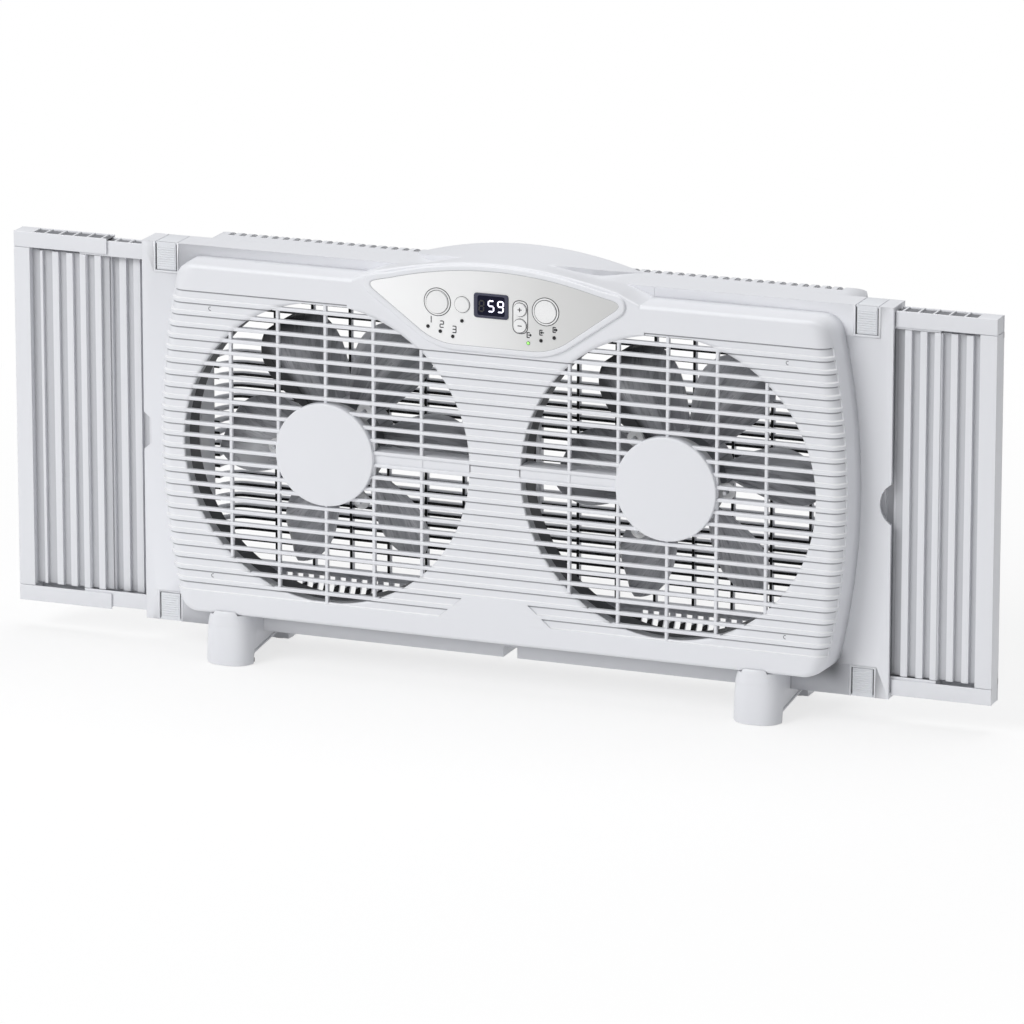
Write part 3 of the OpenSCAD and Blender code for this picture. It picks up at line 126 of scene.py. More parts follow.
class Paint:
    # one material: node() adds any node, the rest are shortcuts built on it
    def __init__(self, name):
        self.material = bpy.data.materials.new(name)
        self.material.use_nodes = True
        self.tree = self.material.node_tree
        self.shader = self.tree.nodes["Principled BSDF"]

    def node(self, kind, settings=None, values=(), output=0):
        made = self.tree.nodes.new("ShaderNode" + kind)
        for key, value in (settings or {}).items():
            if key == "stops":
                ramp = made.color_ramp.elements
                while len(ramp) < len(value):
                    ramp.new(0.5)
                for stop, (at, shade) in zip(ramp, value):
                    stop.position = at
                    stop.color = (*shade, 1)
            else:
                setattr(made, key, value)
        pairs = values.items() if isinstance(values, dict) else enumerate(values)
        for key, value in pairs:
            self.feed(made.inputs[key], value)
        return Wire(self, made.outputs[output])

    def feed(self, socket, value):
        if isinstance(value, Wire):
            self.tree.links.new(value.out, socket)
        else:
            socket.default_value = value

    def axes(self):
        # x, y and z from the middle of the face, in metres
        parts = self.node("SeparateXYZ", {}, {0: self.node("TexCoord", output="Object")}).out.node
        return [Wire(self, parts.outputs[axis]) - float(start) for axis, start in zip("XYZ", shift)]

    def noise(self, scale, detail, where=None, roughness=0.5):
        return self.node("TexNoise", {}, {
            "Vector": where or self.node("TexCoord", output="Object"),
            "Scale": scale, "Detail": detail, "Roughness": roughness, "Distortion": 0.0,
        }, "Fac")

    def blend(self, factor, first, second):
        return self.node("Mix", {"data_type": "RGBA"}, {0: factor, 6: first, 7: second}, 2)

    def ramp(self, value, *stops):
        # a colour that changes along stops of (place, red, green, blue)
        return self.node("ValToRGB", {"stops": [(at, rgb(*shade)[:3]) for at, *shade in stops]}, {0: value})

    def bump(self, height, distance, normal=None):
        values = {"Height": height, "Distance": distance, "Strength": 1.0}
        if normal:
            values["Normal"] = normal
        return self.node("Bump", {}, values)

    def softEdge(self):
        return self.node("Bevel", {"samples": 4}, {"Radius": 0.0005})

    def finish(self, **inputs):
        for key, value in inputs.items():
            self.feed(self.shader.inputs[key.replace("_", " ")], value)
        return self.material


def rgb(red, green, blue):
    # a colour given as it looks on screen, from 0 to 255, in the linear values that nodes use
    parts = [value / 255 for value in (red, green, blue)]
    return (*[p / 12.92 if p <= 0.04045 else ((p + 0.055) / 1.055) ** 2.4 for p in parts], 1)


def dimmed(colour, share):
    return (*[part * share for part in colour[:3]], 1)


def moulded(name, colour, rough, gloss=0.5, paintedShading=None):
    # moulded plastic: fine spark-eroded grain, slow tone drift, softly rounded edges, and any painted shade
    # and highlight passed in
    paint = Paint(name)
    drift = paint.noise(9, 3)
    fine = paint.noise(1400, 2)
    tone = paint.blend(drift, dimmed(colour, 0.97), colour)
    if paintedShading:
        tone = paintedShading(paint, tone)
    return paint.finish(
        Base_Color=tone,
        Roughness=rough - 0.05 + 0.1 * drift + 0.04 * fine,
        Normal=paint.bump(fine, 0.00003, paint.softEdge()),
        Specular_IOR_Level=gloss,
        IOR=1.5,
    )


def metal(name, colour, rough):
    # turned or rolled metal: streaks in tone and roughness
    paint = Paint(name)
    lines = paint.noise(600, 4)
    return paint.finish(
        Base_Color=paint.blend(lines, dimmed(colour, 0.8), colour),
        Metallic=1.0,
        Roughness=rough - 0.08 + 0.16 * lines,
        Normal=paint.bump(lines, 0.00002),
    )


def paintedGrooveShade(paint, base):
    # painted shade and highlight: the shell's grooves are darker under the edge above them and lighter on the
    # edge below
    y, z = paint.axes()[1:]
    depth = (y - layout["faceY"] / 1000) * 1000
    row = ((layout["hubZ"] + grooves["top"]) / 1000 - z) * (1000 / grooves["pitch"])
    share = row.fraction()
    last = grooves["count"] - 0.2
    inside = depth.step(0.3, 1.0) * depth.step(9.4, 8.4) * row.step(-0.06, -0.02) * row.step(last, last - 0.1)
    # painted shadow under each groove's upper edge
    shade = (share.step(0.17, 0.06) + share.step(0.985, 1.0)).capped()
    # painted highlight on each groove's lower lip
    lip = share.step(0.56, 0.66) * share.step(0.76, 0.69)
    base = paint.blend(inside * lip * 0.7, base, rgb(252, 252, 253))
    return paint.blend(inside * shade * 0.85, base, rgb(122, 123, 128))


def housingPaintedShade(name, colour):
    # white plastic with painted shade under the shell's lower edge, where little light reaches
    paint = Paint(name)
    x, y, z = paint.axes()
    paintedShadow = z.step(0.025, 0.042) * z.step(0.060, 0.050) * (x * x).step(0.078, 0.070) * y.step(0.002, 0.0005)
    drift = paint.noise(9, 3)
    base = paint.blend(drift, dimmed(colour, 0.97), colour)
    return paint.finish(
        Base_Color=paint.blend(paintedShadow * 0.8, base, rgb(96, 97, 102)),
        Roughness=0.34 + 0.1 * drift,
        Normal=paint.softEdge(),
    )


def silverPlatePaintedSheen(name):
    # satin silver film with a painted sheen: brighter at its left end than at its right
    paint = Paint(name)
    share = (paint.axes()[0] + 0.105) / 0.21
    tone = paint.ramp(
        share, (0.0, 250, 250, 250), (0.42, 236, 236, 236), (0.7, 216, 216, 215), (1.0, 204, 204, 203))
    fine = paint.noise(2400, 2)
    return paint.finish(Base_Color=tone, Roughness=0.3 + 0.08 * fine, Normal=paint.bump(fine, 0.00001))


def smokedBladePaintedLight(name):
    # dark glossy petals: curved streaks that run out from the hub, painted reflections and swirl lines in the
    # plastic, with painted shade along one edge and at the tip
    paint = Paint(name)
    x, z = paint.axes()[::2]
    z = z - layout["hubZ"] / 1000
    x = x - x.math("SIGN", x) * (layout["hubX"] / 1000)
    angle = z.math("ARCTAN2", z, x) / (2 * math.pi)
    out = x.math("SQRT", x * x + z * z) * 1000
    share = (angle * layout["petals"] - layout["petalPhase"] * layout["petals"] / 360 + 0.5).fraction()
    spot = paint.node("CombineXYZ", {}, {0: angle * 40 + out * 0.02, 1: out * 0.012})
    fine = paint.noise(1.0, 4, spot, 0.6)
    wide = paint.noise(0.32, 2, spot)
    shade = fine.step(0.42, 0.62) * 0.35 + wide.step(0.35, 0.7) * 0.65
    # fine dark streak lines where the noise passes whole steps, painted reflections and swirl lines, and
    # painted shade on one petal that lies in shade
    paintedStreakLines = 0.72 + 0.28 * (fine * 9).fraction().step(0.0, 0.3)
    shaded = angle.step(0.23, 0.26) * angle.step(0.45, 0.42)
    # painted shade: darker along each petal's one edge and at its tip, most on the petal in shade
    paintedLight = 1 - (0.3 + 0.7 * shaded) * (1 - share.step(0.73, 0.61) * out.step(105.0, 80.0))
    level = (0.35 + 0.65 * shade) * (0.06 + 0.94 * paintedLight) * paintedStreakLines
    tone = paint.ramp(
        level, (0.0, 22, 22, 24), (0.25, 130, 131, 135), (0.55, 186, 187, 192), (1.0, 250, 250, 252))
    return paint.finish(Base_Color=tone, Roughness=0.22 + 0.12 * fine, Normal=paint.bump(fine, 0.00012))


def glowing(name, colour, strength):
    return Paint(name).finish(
        Base_Color=colour, Emission_Color=colour, Emission_Strength=strength, Roughness=0.3)


# finish: material, colour on screen, roughness and, where it isn't 0.5, gloss
plastics = {
    "white_plastic": ("shellWhite", (229, 230, 234), 0.38),
    "white_panel": ("panelWhite", (227, 228, 232), 0.42),
    "latch_plastic": ("latchWhite", (226, 228, 232), 0.40),
    "mount_plastic": ("mountWhite", (238, 238, 238), 0.45),
    "button_plastic": ("buttonWhite", (240, 240, 240), 0.25),
    "display_glass": ("windowGlass", (17, 18, 40), 0.12, 0.12),
    "light_pipe": ("lightPipe", (40, 38, 40), 0.2),
    "smoke_plastic": ("smokeBlade", (96, 97, 101), 0.3),
    "circuit_board": ("boardGreen", (24, 88, 52), 0.35),
    "black_plastic": ("blackPlastic", (28, 28, 30), 0.45),
    "lead_sleeve": ("leadSleeve", (34, 34, 36), 0.5),
    "pad_rubber": ("padRubber", (44, 44, 45), 0.75),
    # channel, pocket and duct greys and the duct's dark band are painted shade; shade_dark is painted shade
    # on the louvres and in the latch slits; trim_dark makes dark trim rings and a painted shadow round the
    # caps
    "channel_grey": ("channelGrey", (196, 197, 201), 0.45),
    "pocket_grey": ("pocketGrey", (120, 121, 125), 0.5),
    "duct_grey": ("ductGrey", (190, 191, 194), 0.22),
    "duct_shade": ("ductShade", (74, 75, 78), 0.4),
    "shade_dark": ("shadeDark", (26, 26, 28), 0.5),
    "trim_dark": ("trimDark", (56, 57, 61), 0.35, 0.3),
    "display_frame": ("frameBlue", (70, 71, 88), 0.25, 0.3),
    "print_grey": ("printGrey", (62, 63, 68), 0.5),
    "digit_ghost": ("digitGhost", (50, 49, 50), 0.4),
}
metals = {
    "motor_steel": ("motorSteel", (150, 152, 155), 0.4),
    "armature_steel": ("armatureSteel", (120, 121, 124), 0.45),
    "screw_steel": ("screwZinc", (190, 192, 196), 0.3),
    "shaft_steel": ("shaftSteel", (200, 202, 206), 0.22),
    "bush_bronze": ("bushBronze", (186, 150, 96), 0.4),
}
shellColour = rgb(*plastics["white_plastic"][1])
finishes = {
    "ribbed_shell_painted_shade": moulded("ribbedShellPaintedShade", shellColour, 0.38, paintedShading=paintedGrooveShade),
    "housing_painted_shade": housingPaintedShade("housingWhitePaintedShade", shellColour),
    "silver_lens": silverPlatePaintedSheen("lensSilverPaintedSheen"),
    "smoked_blade_painted_light": smokedBladePaintedLight("smokedBladePaintedLight"),
    "digit_glow": glowing("digitGlow", rgb(238, 236, 255), 0.9),
    "light_green": glowing("lightGreen", rgb(150, 240, 110), 0.7),
}
for kind, table in ((moulded, plastics), (metal, metals)):
    for finish, (title, colour, *rest) in table.items():
        finishes[finish] = kind(title, rgb(*colour), *rest)
for entry in frame["record"]["subparts"]:
    mesh = cadNodes[entry["node"]].data
    mesh.materials.clear()
    mesh.materials.append(finishes[entry["material_slot"]])
print("CAD nodes have their finishes:", len(cadNodes))


def link(piece):
    bpy.context.scene.collection.objects.link(piece)


def gridCells(rows, cols, around=False):
    # corner numbers of the cells of a grid; around joins its last column to the first
    r, c = np.meshgrid(np.arange(rows - 1), np.arange(cols if around else cols - 1), indexing="ij")
    a = r * cols + c
    b = r * cols + (c + 1) % cols
    return np.stack([a, b, b + cols, a + cols], -1)


class Pile:
    # gathers grids, loops and turned shapes, then makes one piece of them
    def __init__(self):
        self.points = []
        self.faces = []
        self.count = 0

    def add(self, points, faces):
        points = np.asarray(points, float).reshape(-1, 3)
        self.points.append(points)
        self.faces += [[corner + self.count for corner in face] for face in faces]
        self.count += len(points)

    def grid(self, points, around=False, keep=None):
        cells = gridCells(*points.shape[:2], around)
        cells = cells[keep] if keep is not None else cells.reshape(-1, 4)
        self.add(points, cells.tolist())

    def tube(self, rings):
        # closed skin whose last ring meets its first
        self.grid(np.stack([*rings, rings[0]]), around=True)

    def run(self, rings):
        # closed skin through rings of points, with a flat cap at each end
        rings = np.asarray(rings, float)
        count, size = rings.shape[:2]
        caps = [list(range(size))[::-1], list(range((count - 1) * size, count * size))]
        self.add(rings, gridCells(count, size, True).reshape(-1, 4).tolist() + caps)

    def turned(self, profile, centre, sides=96):
        # closed profile of (radius, y) turned about the line along y through centre (x, z)
        profile = np.asarray(profile, float)
        angle = np.linspace(0, 2 * np.pi, sides + 1)[:, None]
        self.grid(np.stack([
            centre[0] + profile[:, 0] * np.cos(angle),
            profile[:, 1] + 0 * angle,
            centre[1] + profile[:, 0] * np.sin(angle),
        ], -1), around=True)

    def box(self, low, high, soft=0.4):
        # block with its four long edges along x softened
        (x0, y0, z0), (x1, y1, z1) = low, high
        outline = softLoop([(y0, z0), (y1, z0), (y1, z1), (y0, z1)], soft)
        self.run([np.insert(outline, 0, x, axis=1) for x in (x0, x1)])

    def make(self, name, finish, body="root", stands=None, slot=None, angle=35, wall=0.0, bevel=0.0):
        # wall gives an open skin its thickness inwards; a closed one has its faces turned outwards
        mesh = bpy.data.meshes.new(name)
        mesh.from_pydata(place(np.concatenate(self.points)).tolist(), [], self.faces)
        work = bmesh.new()
        work.from_mesh(mesh)
        bmesh.ops.remove_doubles(work, verts=work.verts, dist=2e-6)
        bmesh.ops.dissolve_degenerate(work, edges=work.edges, dist=1e-6)
        if not wall:
            bmesh.ops.recalc_face_normals(work, faces=work.faces)
        work.to_mesh(mesh)
        work.free()
        mesh.shade_smooth()
        mesh.set_sharp_from_angle(angle=math.radians(angle))
        piece = bpy.data.objects.new(name, mesh)
        link(piece)
        mesh.materials.append(finishes[finish])
        if wall:
            skin = piece.modifiers.new("wall", "SOLIDIFY")
            skin.thickness = wall / 1000
            skin.offset = -1
        if bevel:
            soft = piece.modifiers.new("softEdges", "BEVEL")
            soft.width = bevel / 1000
            soft.segments = 2
            soft.limit_method = "ANGLE"
            soft.angle_limit = math.radians(angle)
        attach(piece, body)
        if stands:
            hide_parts(stands)
        return piece


def softLoop(corners, radius, steps=3):
    # closed outline with each corner b replaced by the curve (1-t)^2 a + 2t(1-t) b + t^2 c
    # between the points a and c on its two sides
    corners = np.asarray(corners, float)
    radius = np.broadcast_to(radius, len(corners))
    t = np.linspace(0, 1, steps + 1)[:, None]
    loop = []
    for i, corner in enumerate(corners):
        before, after = corners[i - 1] - corner, corners[(i + 1) % len(corners)] - corner
        start, end = (corner + way * min(radius[i] / np.linalg.norm(way), 0.5) for way in (before, after))
        loop.append((1 - t) ** 2 * start + 2 * t * (1 - t) * corner + t ** 2 * end)
    return np.concatenate(loop)


# front shell
opening = {"radius": 120.0, "flatTop": 118.5, "flatBottom": -119.4}
duct = {"setBack": 2.6, "depth": 22.5, "wall": 2.5, "gap": (-21.0, -3.2)}
bars = {"depth": 5.0, "uprightWidth": 2.6, "uprightPitch": 40.0, "uprightSet": 1.0, "lap": 0.8}
hubLink = {"row": 12, "webSet": 3.08, "lowWall": -3.0, "highWall": 1.5, "wall": 1.4, "depth": 18.0}
hubDisc = {"radius": 40.9, "depth": 8.0, "wall": 2.5}


def barrelRing(sideIn, topIn):
    # corner circle and side arc of the shell's outline, set in from its sides and its top
    half = (shell["top"] - shell["bottom"]) / 2 - topIn
    bulge = shell["bulge"]
    big = (half ** 2 + bulge ** 2) / (2 * bulge)
    arcX = shell["width"] / 2 - sideIn + bulge - big
    corner = max(shell["corner"] - (sideIn + topIn) / 2, 5.0)
    lean = math.asin((half - corner) / (big - corner))
    cornerX = arcX + math.sqrt((big - corner) ** 2 - (half - corner) ** 2)
    return arcX, big, half, corner, lean, cornerX


def grooveTop(k):
    return grooves["top"] - k * grooves["pitch"]


def faceRows():
    # heights of the face's rows and the groove depth at each: flat lands, rounded lips, drafted walls
    lip = [(0.75, 0), (0.4, 0.06), (0.15, 0.24), (0.02, 0.55), (-0.12, 1.2), (-0.3, 1.44), (-0.55, 1.5)]
    floor = grooves["depth"]
    rows = [(grooves["lowLand"], 0.0), (opening["flatTop"], floor), (opening["flatBottom"], floor)]
    rows += [(grooves["highLand"], 0.0)]
    for k in range(grooves["count"]):
        high, low = grooveTop(k), grooveTop(k) - grooves["height"]
        rows += [(high + at, deep) for at, deep in lip] + [(low - at, deep) for at, deep in lip]
        rows += [(high - at, floor) for at in (2.0, 3.35, 4.7)]
    return np.array(sorted(rows)).T


def fieldHalf(rise):
    # half the width of the bare field below, which widens down in straight lines
    (highZ, highX), (lowZ, lowX) = grooves["fieldHigh"], grooves["fieldLow"]
    return highX + (lowX - highX) * np.clip((highZ - rise) / (highZ - lowZ), 0, 1)


def openingHalf(rise):
    # half the width of an opening at a height from its hub: the root of r^2 - z^2
    inside = np.clip(rise, opening["flatBottom"], opening["flatTop"])
    return np.sqrt(opening["radius"] ** 2 - inside ** 2)


def faceColumns(rise, reach):
    # for each row, the distances of its columns from the middle: bare field, middle strip, opening,
    # outer part
    half = openingHalf(rise)
    inner, outer = layout["hubX"] - half, layout["hubX"] + half
    field = np.minimum(fieldHalf(rise), 0.7 * inner)

    def spread(a, b, shares):
        return [a + (b - a) * share for share in shares]

    columns = spread(0 * field, field - 0.2, (0, 0.5, 1))
    columns += spread(field + 0.2, inner, (0, 0.3, 0.6, 0.85, 1))
    columns += [inner + 0.4] + spread(inner, outer, (0.25, 0.5, 0.75)) + [outer - 0.4]
    columns += spread(outer, reach, (0, 0.15, 0.35, 0.55, 0.75, 0.9, 1))
    return np.stack(columns, 1), (7, 13)


def addShell():
    rise, depth = faceRows()
    hubZ, faceY = layout["hubZ"], layout["faceY"]
    turns = np.radians([90, 82, 74, 66, 58, 49, 40, 31, 22, 15, 11.2, 9.6, 5, 0])
    sideIn = shell["sideRound"] * (1 - np.cos(turns))
    ringY = faceY + shell["sideRound"] * (1 - np.sin(turns))
    sideIn, ringY = np.append(sideIn, [0, 0]), np.append(ringY, [-12, 0])
    turns = np.append(turns, [0, 0])
    edge = shell["edgeRound"]
    short = np.maximum(edge - (ringY - faceY), 0)
    topIn = np.where(short > 0, edge - np.sqrt(edge ** 2 - short ** 2), 0)
    draft = shell["draft"] * -ringY / shell["depth"]
    middle = (shell["top"] + shell["bottom"]) / 2
    cornerTurns = np.linspace(0, 1, 8)[1:]

    def rightEdge(i):
        # x and z up the right side of ring i: lower corner, side rows, upper corner
        arcX, big, half, corner, lean, cornerX = barrelRing(sideIn[i] + draft[i], topIn[i])
        z = rise + hubZ
        x = arcX + np.sqrt(big ** 2 - (z - middle) ** 2)
        angle = lean + (np.pi / 2 - lean) * cornerTurns
        curveX, curveZ = cornerX + corner * np.cos(angle), half - corner + corner * np.sin(angle)
        return (np.concatenate([curveX[::-1], x, curveX]),
                np.concatenate([middle - curveZ[::-1], z, middle + curveZ]))

    count = len(cornerTurns)
    rowDepth = np.concatenate([np.zeros(count), depth, np.zeros(count)])
    frontX, frontZ = rightEdge(0)
    rowRise = frontZ - hubZ
    half, (gapStart, gapEnd) = faceColumns(rowRise, frontX)
    face = np.concatenate([-half[:, :0:-1], half], 1)
    away = np.abs(face)
    field = (rowRise[:, None] < grooves["fieldHigh"][0] + 1) & (away < fieldHalf(rowRise)[:, None] + 0.01)
    controls = (rowRise[:, None] > grooveTop(grooves["controlRows"]) + 1.6) & (
        away < layout["hubX"] - openingHalf(rowRise)[:, None] + 0.01)
    over = (rowRise[:, None] > opening["flatTop"] - 0.01) & (np.abs(away - layout["hubX"]) < 18)
    cut = rowDepth[:, None] * np.where(field | (controls & ~over), 0, 1)
    points = np.stack([face, faceY + cut, np.broadcast_to(frontZ[:, None], face.shape)], -1)
    # cells inside the openings are left out
    rowIn = (rowRise[:-1] > opening["flatBottom"] - 0.01) & (rowRise[1:] < opening["flatTop"] + 0.01)
    side = half.shape[1] - 1
    cellIn = np.zeros(2 * side, bool)
    for start, end in ((side + gapStart, side + gapEnd), (side - gapEnd, side - gapStart)):
        cellIn[start:end] = True
    pile = Pile()
    pile.grid(points, keep=~(rowIn[:, None] & cellIn[None, :]))
    rings = []
    topShare = face[-1] / frontX[-1]
    lowShare = face[0] / frontX[0]
    for i, (y, turn) in enumerate(zip(ringY, turns)):
        x, z = rightEdge(i)
        sink = rowDepth * (1 if y < grooves["endY"] else 0)
        shiftX, shiftY = -sink * math.cos(turn), sink * math.sin(turn)
        right = np.stack([x + shiftX, y + shiftY, z], 1)
        left = right * (-1, 1, 1)
        top = np.stack([x[-1] * topShare, np.full(len(topShare), y), np.full(len(topShare), z[-1])], 1)
        low = np.stack([x[0] * lowShare, np.full(len(lowShare), y), np.full(len(lowShare), z[0])], 1)
        rings.append(np.concatenate([right[:-1], top[:0:-1], left[:0:-1], low[:-1]]))
    pile.grid(np.stack(rings[::-1]), around=True)
    wall = shell["wall"]
    pile.make("shellFace", "ribbed_shell_painted_shade", stands="front_shell", slot="white_plastic", angle=50, wall=wall)


def addGrille(name):
    side = sides[name]
    centre = side * layout["hubX"]
    hubZ, faceY = layout["hubZ"], layout["faceY"]
    lap = opening["radius"] + bars["lap"]
    inner = hubDisc["radius"] - 1.0
    pile = Pile()

    def strip(section, start, end, along):
        # section of (y, height or width) carried from start to end
        order = 1 if along == "x" else -1
        places = [[(y, (at, v)[::order]) for y, v in section] for at in (start, end)]
        pile.run([[(centre + x, y, hubZ + z) for y, (x, z) in ring] for ring in places])

    def spans(offset, low, high):
        # the stretches of a line at that offset from the hub, outside the hub disc
        if abs(offset) >= inner:
            return [(low, high)]
        cut = math.sqrt(inner ** 2 - offset ** 2)
        return [(low, -cut), (cut, high)]

    back = faceY + bars["depth"]
    for k in range(grooves["count"] - 1):
        high, low = grooveTop(k) - grooves["height"], grooveTop(k + 1)
        mid = (high + low) / 2
        reach = math.sqrt(lap ** 2 - mid ** 2)
        front = faceY + 0.04
        corners = [(front, low), (front, high), (back, high - 0.35), (back, low + 0.35)]
        section = softLoop(corners, (1.1, 1.1, 0.4, 0.4), 4)
        for start, end in spans(mid, -reach, reach):
            strip(section, start, end, "x")
    for i in range(-2, 3):
        at = i * bars["uprightPitch"]
        reach = math.sqrt(lap ** 2 - at ** 2)
        wide = bars["uprightWidth"] / 2
        front = faceY + bars["uprightSet"]
        near, slim = back - 0.2, wide - 0.2
        corners = [(front, at - wide), (front, at + wide), (near, at + slim), (near, at - slim)]
        section = softLoop(corners, (0.7, 0.7, 0.3, 0.3))
        for start, end in spans(at, -reach, min(reach, opening["flatTop"] + bars["lap"])):
            strip(section, start, end, "z")
    # link to the middle strip: a web level with the groove floors, and a channel behind it
    webLow, webHigh = grooveTop(hubLink["row"] + 1) + hubLink["webSet"], grooveTop(hubLink["row"])
    reach = math.sqrt(lap ** 2 - webHigh ** 2)
    start, end = sorted(centre - side * at for at in (reach, hubDisc["radius"] - 1.5))
    floorY = faceY + grooves["depth"]
    pile.box((start, floorY, hubZ + webLow - 0.3), (end, floorY + 2, hubZ + webHigh + 0.3), 0.1)
    for low in (webLow + hubLink["lowWall"], webHigh + hubLink["highWall"]):
        high = low + hubLink["wall"]
        pile.box((start, faceY + 1.2, hubZ + low), (end, faceY + hubLink["depth"], hubZ + high), 0.3)
    pile.make(name + "GrilleBars", "white_plastic", angle=50)

    disc = Pile()
    radius, front = hubDisc["radius"], layout["hubFrontY"]
    inside, floor, rim = radius - hubDisc["wall"], front + hubDisc["wall"], front + hubDisc["depth"]
    profile = [(0, front), (radius, front), (radius, rim), (inside, rim), (inside, floor), (0, floor)]
    disc.turned(softLoop(profile, (0, 1.2, 0.5, 0.5, 0.8, 0), 4), (centre, hubZ), 128)
    disc.make(name + "HubDisc", "white_plastic", angle=50)


def openingLoop(radius, flat, count=160):
    # outline of an opening with its top cut flat
    angle = np.linspace(0, 2 * np.pi, count, endpoint=False)
    return np.stack([radius * np.cos(angle), np.minimum(radius * np.sin(angle), flat)], 1)


def addDuct(name):
    centre, hubZ = sides[name] * layout["hubX"], layout["hubZ"]
    front = layout["faceY"] + duct["setBack"]
    back = front + duct["depth"]
    wide = duct["wall"] + 0.4

    def ring(loop, y):
        return np.stack([centre + loop[:, 0], np.full(len(loop), y), hubZ + loop[:, 1]], 1)

    pile = Pile()
    # painted shade: the ring is the shell's white plastic, coloured grey as the shade inside the opening
    pile.tube([ring(openingLoop(opening["radius"] + out, opening["flatTop"] + out), y) for out, y in (
        (0.4, front), (0.4, back - 0.5), (0.9, back), (wide - 0.5, back), (wide, back - 0.5), (wide, front))])
    pile.make(name + "DuctRing", "duct_grey", slot="white_plastic")
    # painted shade: a dark band over the ring's back half, where the gap to the housing shows
    loop = openingLoop(opening["radius"] + 0.15, opening["flatTop"] + 0.15)
    start, end = duct["gap"]
    gap = Pile()
    gap.tube([ring(loop * grow, y) for y, grow in ((start, 1.0), (end, 1.0), (end, 1.004), (start, 1.004))])
    gap.make(name + "DuctGap", "duct_shade", slot="black_plastic")


addShell()
for name in sides:
    addGrille(name)
    addDuct(name)
print("Front shell and grilles are built")

# fan wheels
wheel = {
    "root": 30.6, "tip": 107.5, "midY": 22.0, "rootHalf": 10.5, "half": 29.5, "spread": 1.2,
    "tipCut": 0.88, "tipPower": 6, "pitch": -16.0, "camber": 3.0, "thick": 1.9,
    "hubRadius": 32.0, "frontY": 4.3, "backY": 34.3, "wall": 3.0, "bore": 4.1, "boss": 8.0,
}


def petalRings(rows=34, cols=26):
    # closed loops across one petal, from its root to its tip, as (radius, angle, y)
    rings = []
    for s in np.linspace(0, 1, rows) ** 0.8:
        swell = math.sin(min(s * wheel["spread"], 1) * math.pi / 2)
        half = wheel["rootHalf"] + (wheel["half"] - wheel["rootHalf"]) * swell
        half *= math.sqrt(1 - s ** wheel["tipPower"] * wheel["tipCut"])
        radius = wheel["root"] + (wheel["tip"] - wheel["root"]) * s
        v = np.sin(np.linspace(-1, 1, cols) * math.pi / 2)
        y = v * wheel["pitch"] - wheel["camber"] * (1 - v * v)
        thick = wheel["thick"] / 2 * np.sqrt(1 - 0.9 * v ** 8) * (1 - 0.45 * s ** 6)
        y = y + wheel["midY"]
        front, back = (
            np.stack([np.full(cols, radius), v * half / radius, y + turn * thick], 1) for turn in (-1, 1))
        rings.append(np.concatenate([front, back[::-1]]))
    return np.stack(rings)


def addWheel(name):
    centre, hubZ = sides[name] * layout["hubX"], layout["hubZ"]
    pile = Pile()
    rings = petalRings()
    for i in range(layout["petals"]):
        angle = math.radians(layout["petalPhase"] + i * 360 / layout["petals"]) + rings[..., 1]
        pile.run(np.stack([
            centre + rings[..., 0] * np.cos(angle), rings[..., 2], hubZ + rings[..., 0] * np.sin(angle)], -1))
    radius, front, back, wall = wheel["hubRadius"], wheel["frontY"], wheel["backY"], wheel["wall"]
    profile = softLoop([
        (radius, front), (radius, back), (wheel["bore"], back), (wheel["bore"], front + 2),
        (wheel["boss"], front + 2), (wheel["boss"], back - wall), (radius - wall, back - wall),
        (radius - wall, front)], (0.8, 2.2, 0.3, 0.3, 0.3, 1, 1, 0.8), 4)
    pile.turned(profile, (centre, hubZ), 96)
    pile.make(name + "Wheel", "smoked_blade_painted_light", name + "_rotor", name + "_fan", "smoke_plastic", angle=50)


for name in sides:
    addWheel(name)
print("Fan wheels are built")

# hump over the controls
hump = {
    "crown": 342.5, "frontFall": 730.0, "shoulder": 100.0, "foot": 118.0, "footZ": 320.5,
    "flatZ": 328.0, "radius": 311.0, "backY": 40.0, "round": 2.0, "wallRun": 1.0,
    "wall": [(36, -14), (54, -1.5), (66, 6), (77, 16), (94, 38.6)],
    "drop": [(36, 0.31), (71.6, 7.2), (96, 5.5), (118, 0)], "vaultHalf": 93.8,
    "underZ": (316.0, 326.5), "underY": 0.6, "columns": 60,
}


def humpFront(x):
    # height of the hump's front edge: a shallow arc, then a straight flank on each side
    x = np.abs(x)
    arc = hump["crown"] - np.minimum(x, hump["shoulder"]) ** 2 / hump["frontFall"]
    share = np.clip((x - hump["shoulder"]) / (hump["foot"] - hump["shoulder"]), 0, 1)
    return arc + (hump["footZ"] - arc) * share


def humpBack(x):
    # height of the vault's outline at the back: an arc of one circle
    radius = hump["radius"]
    return hump["crown"] - radius + np.sqrt(radius ** 2 - x ** 2)


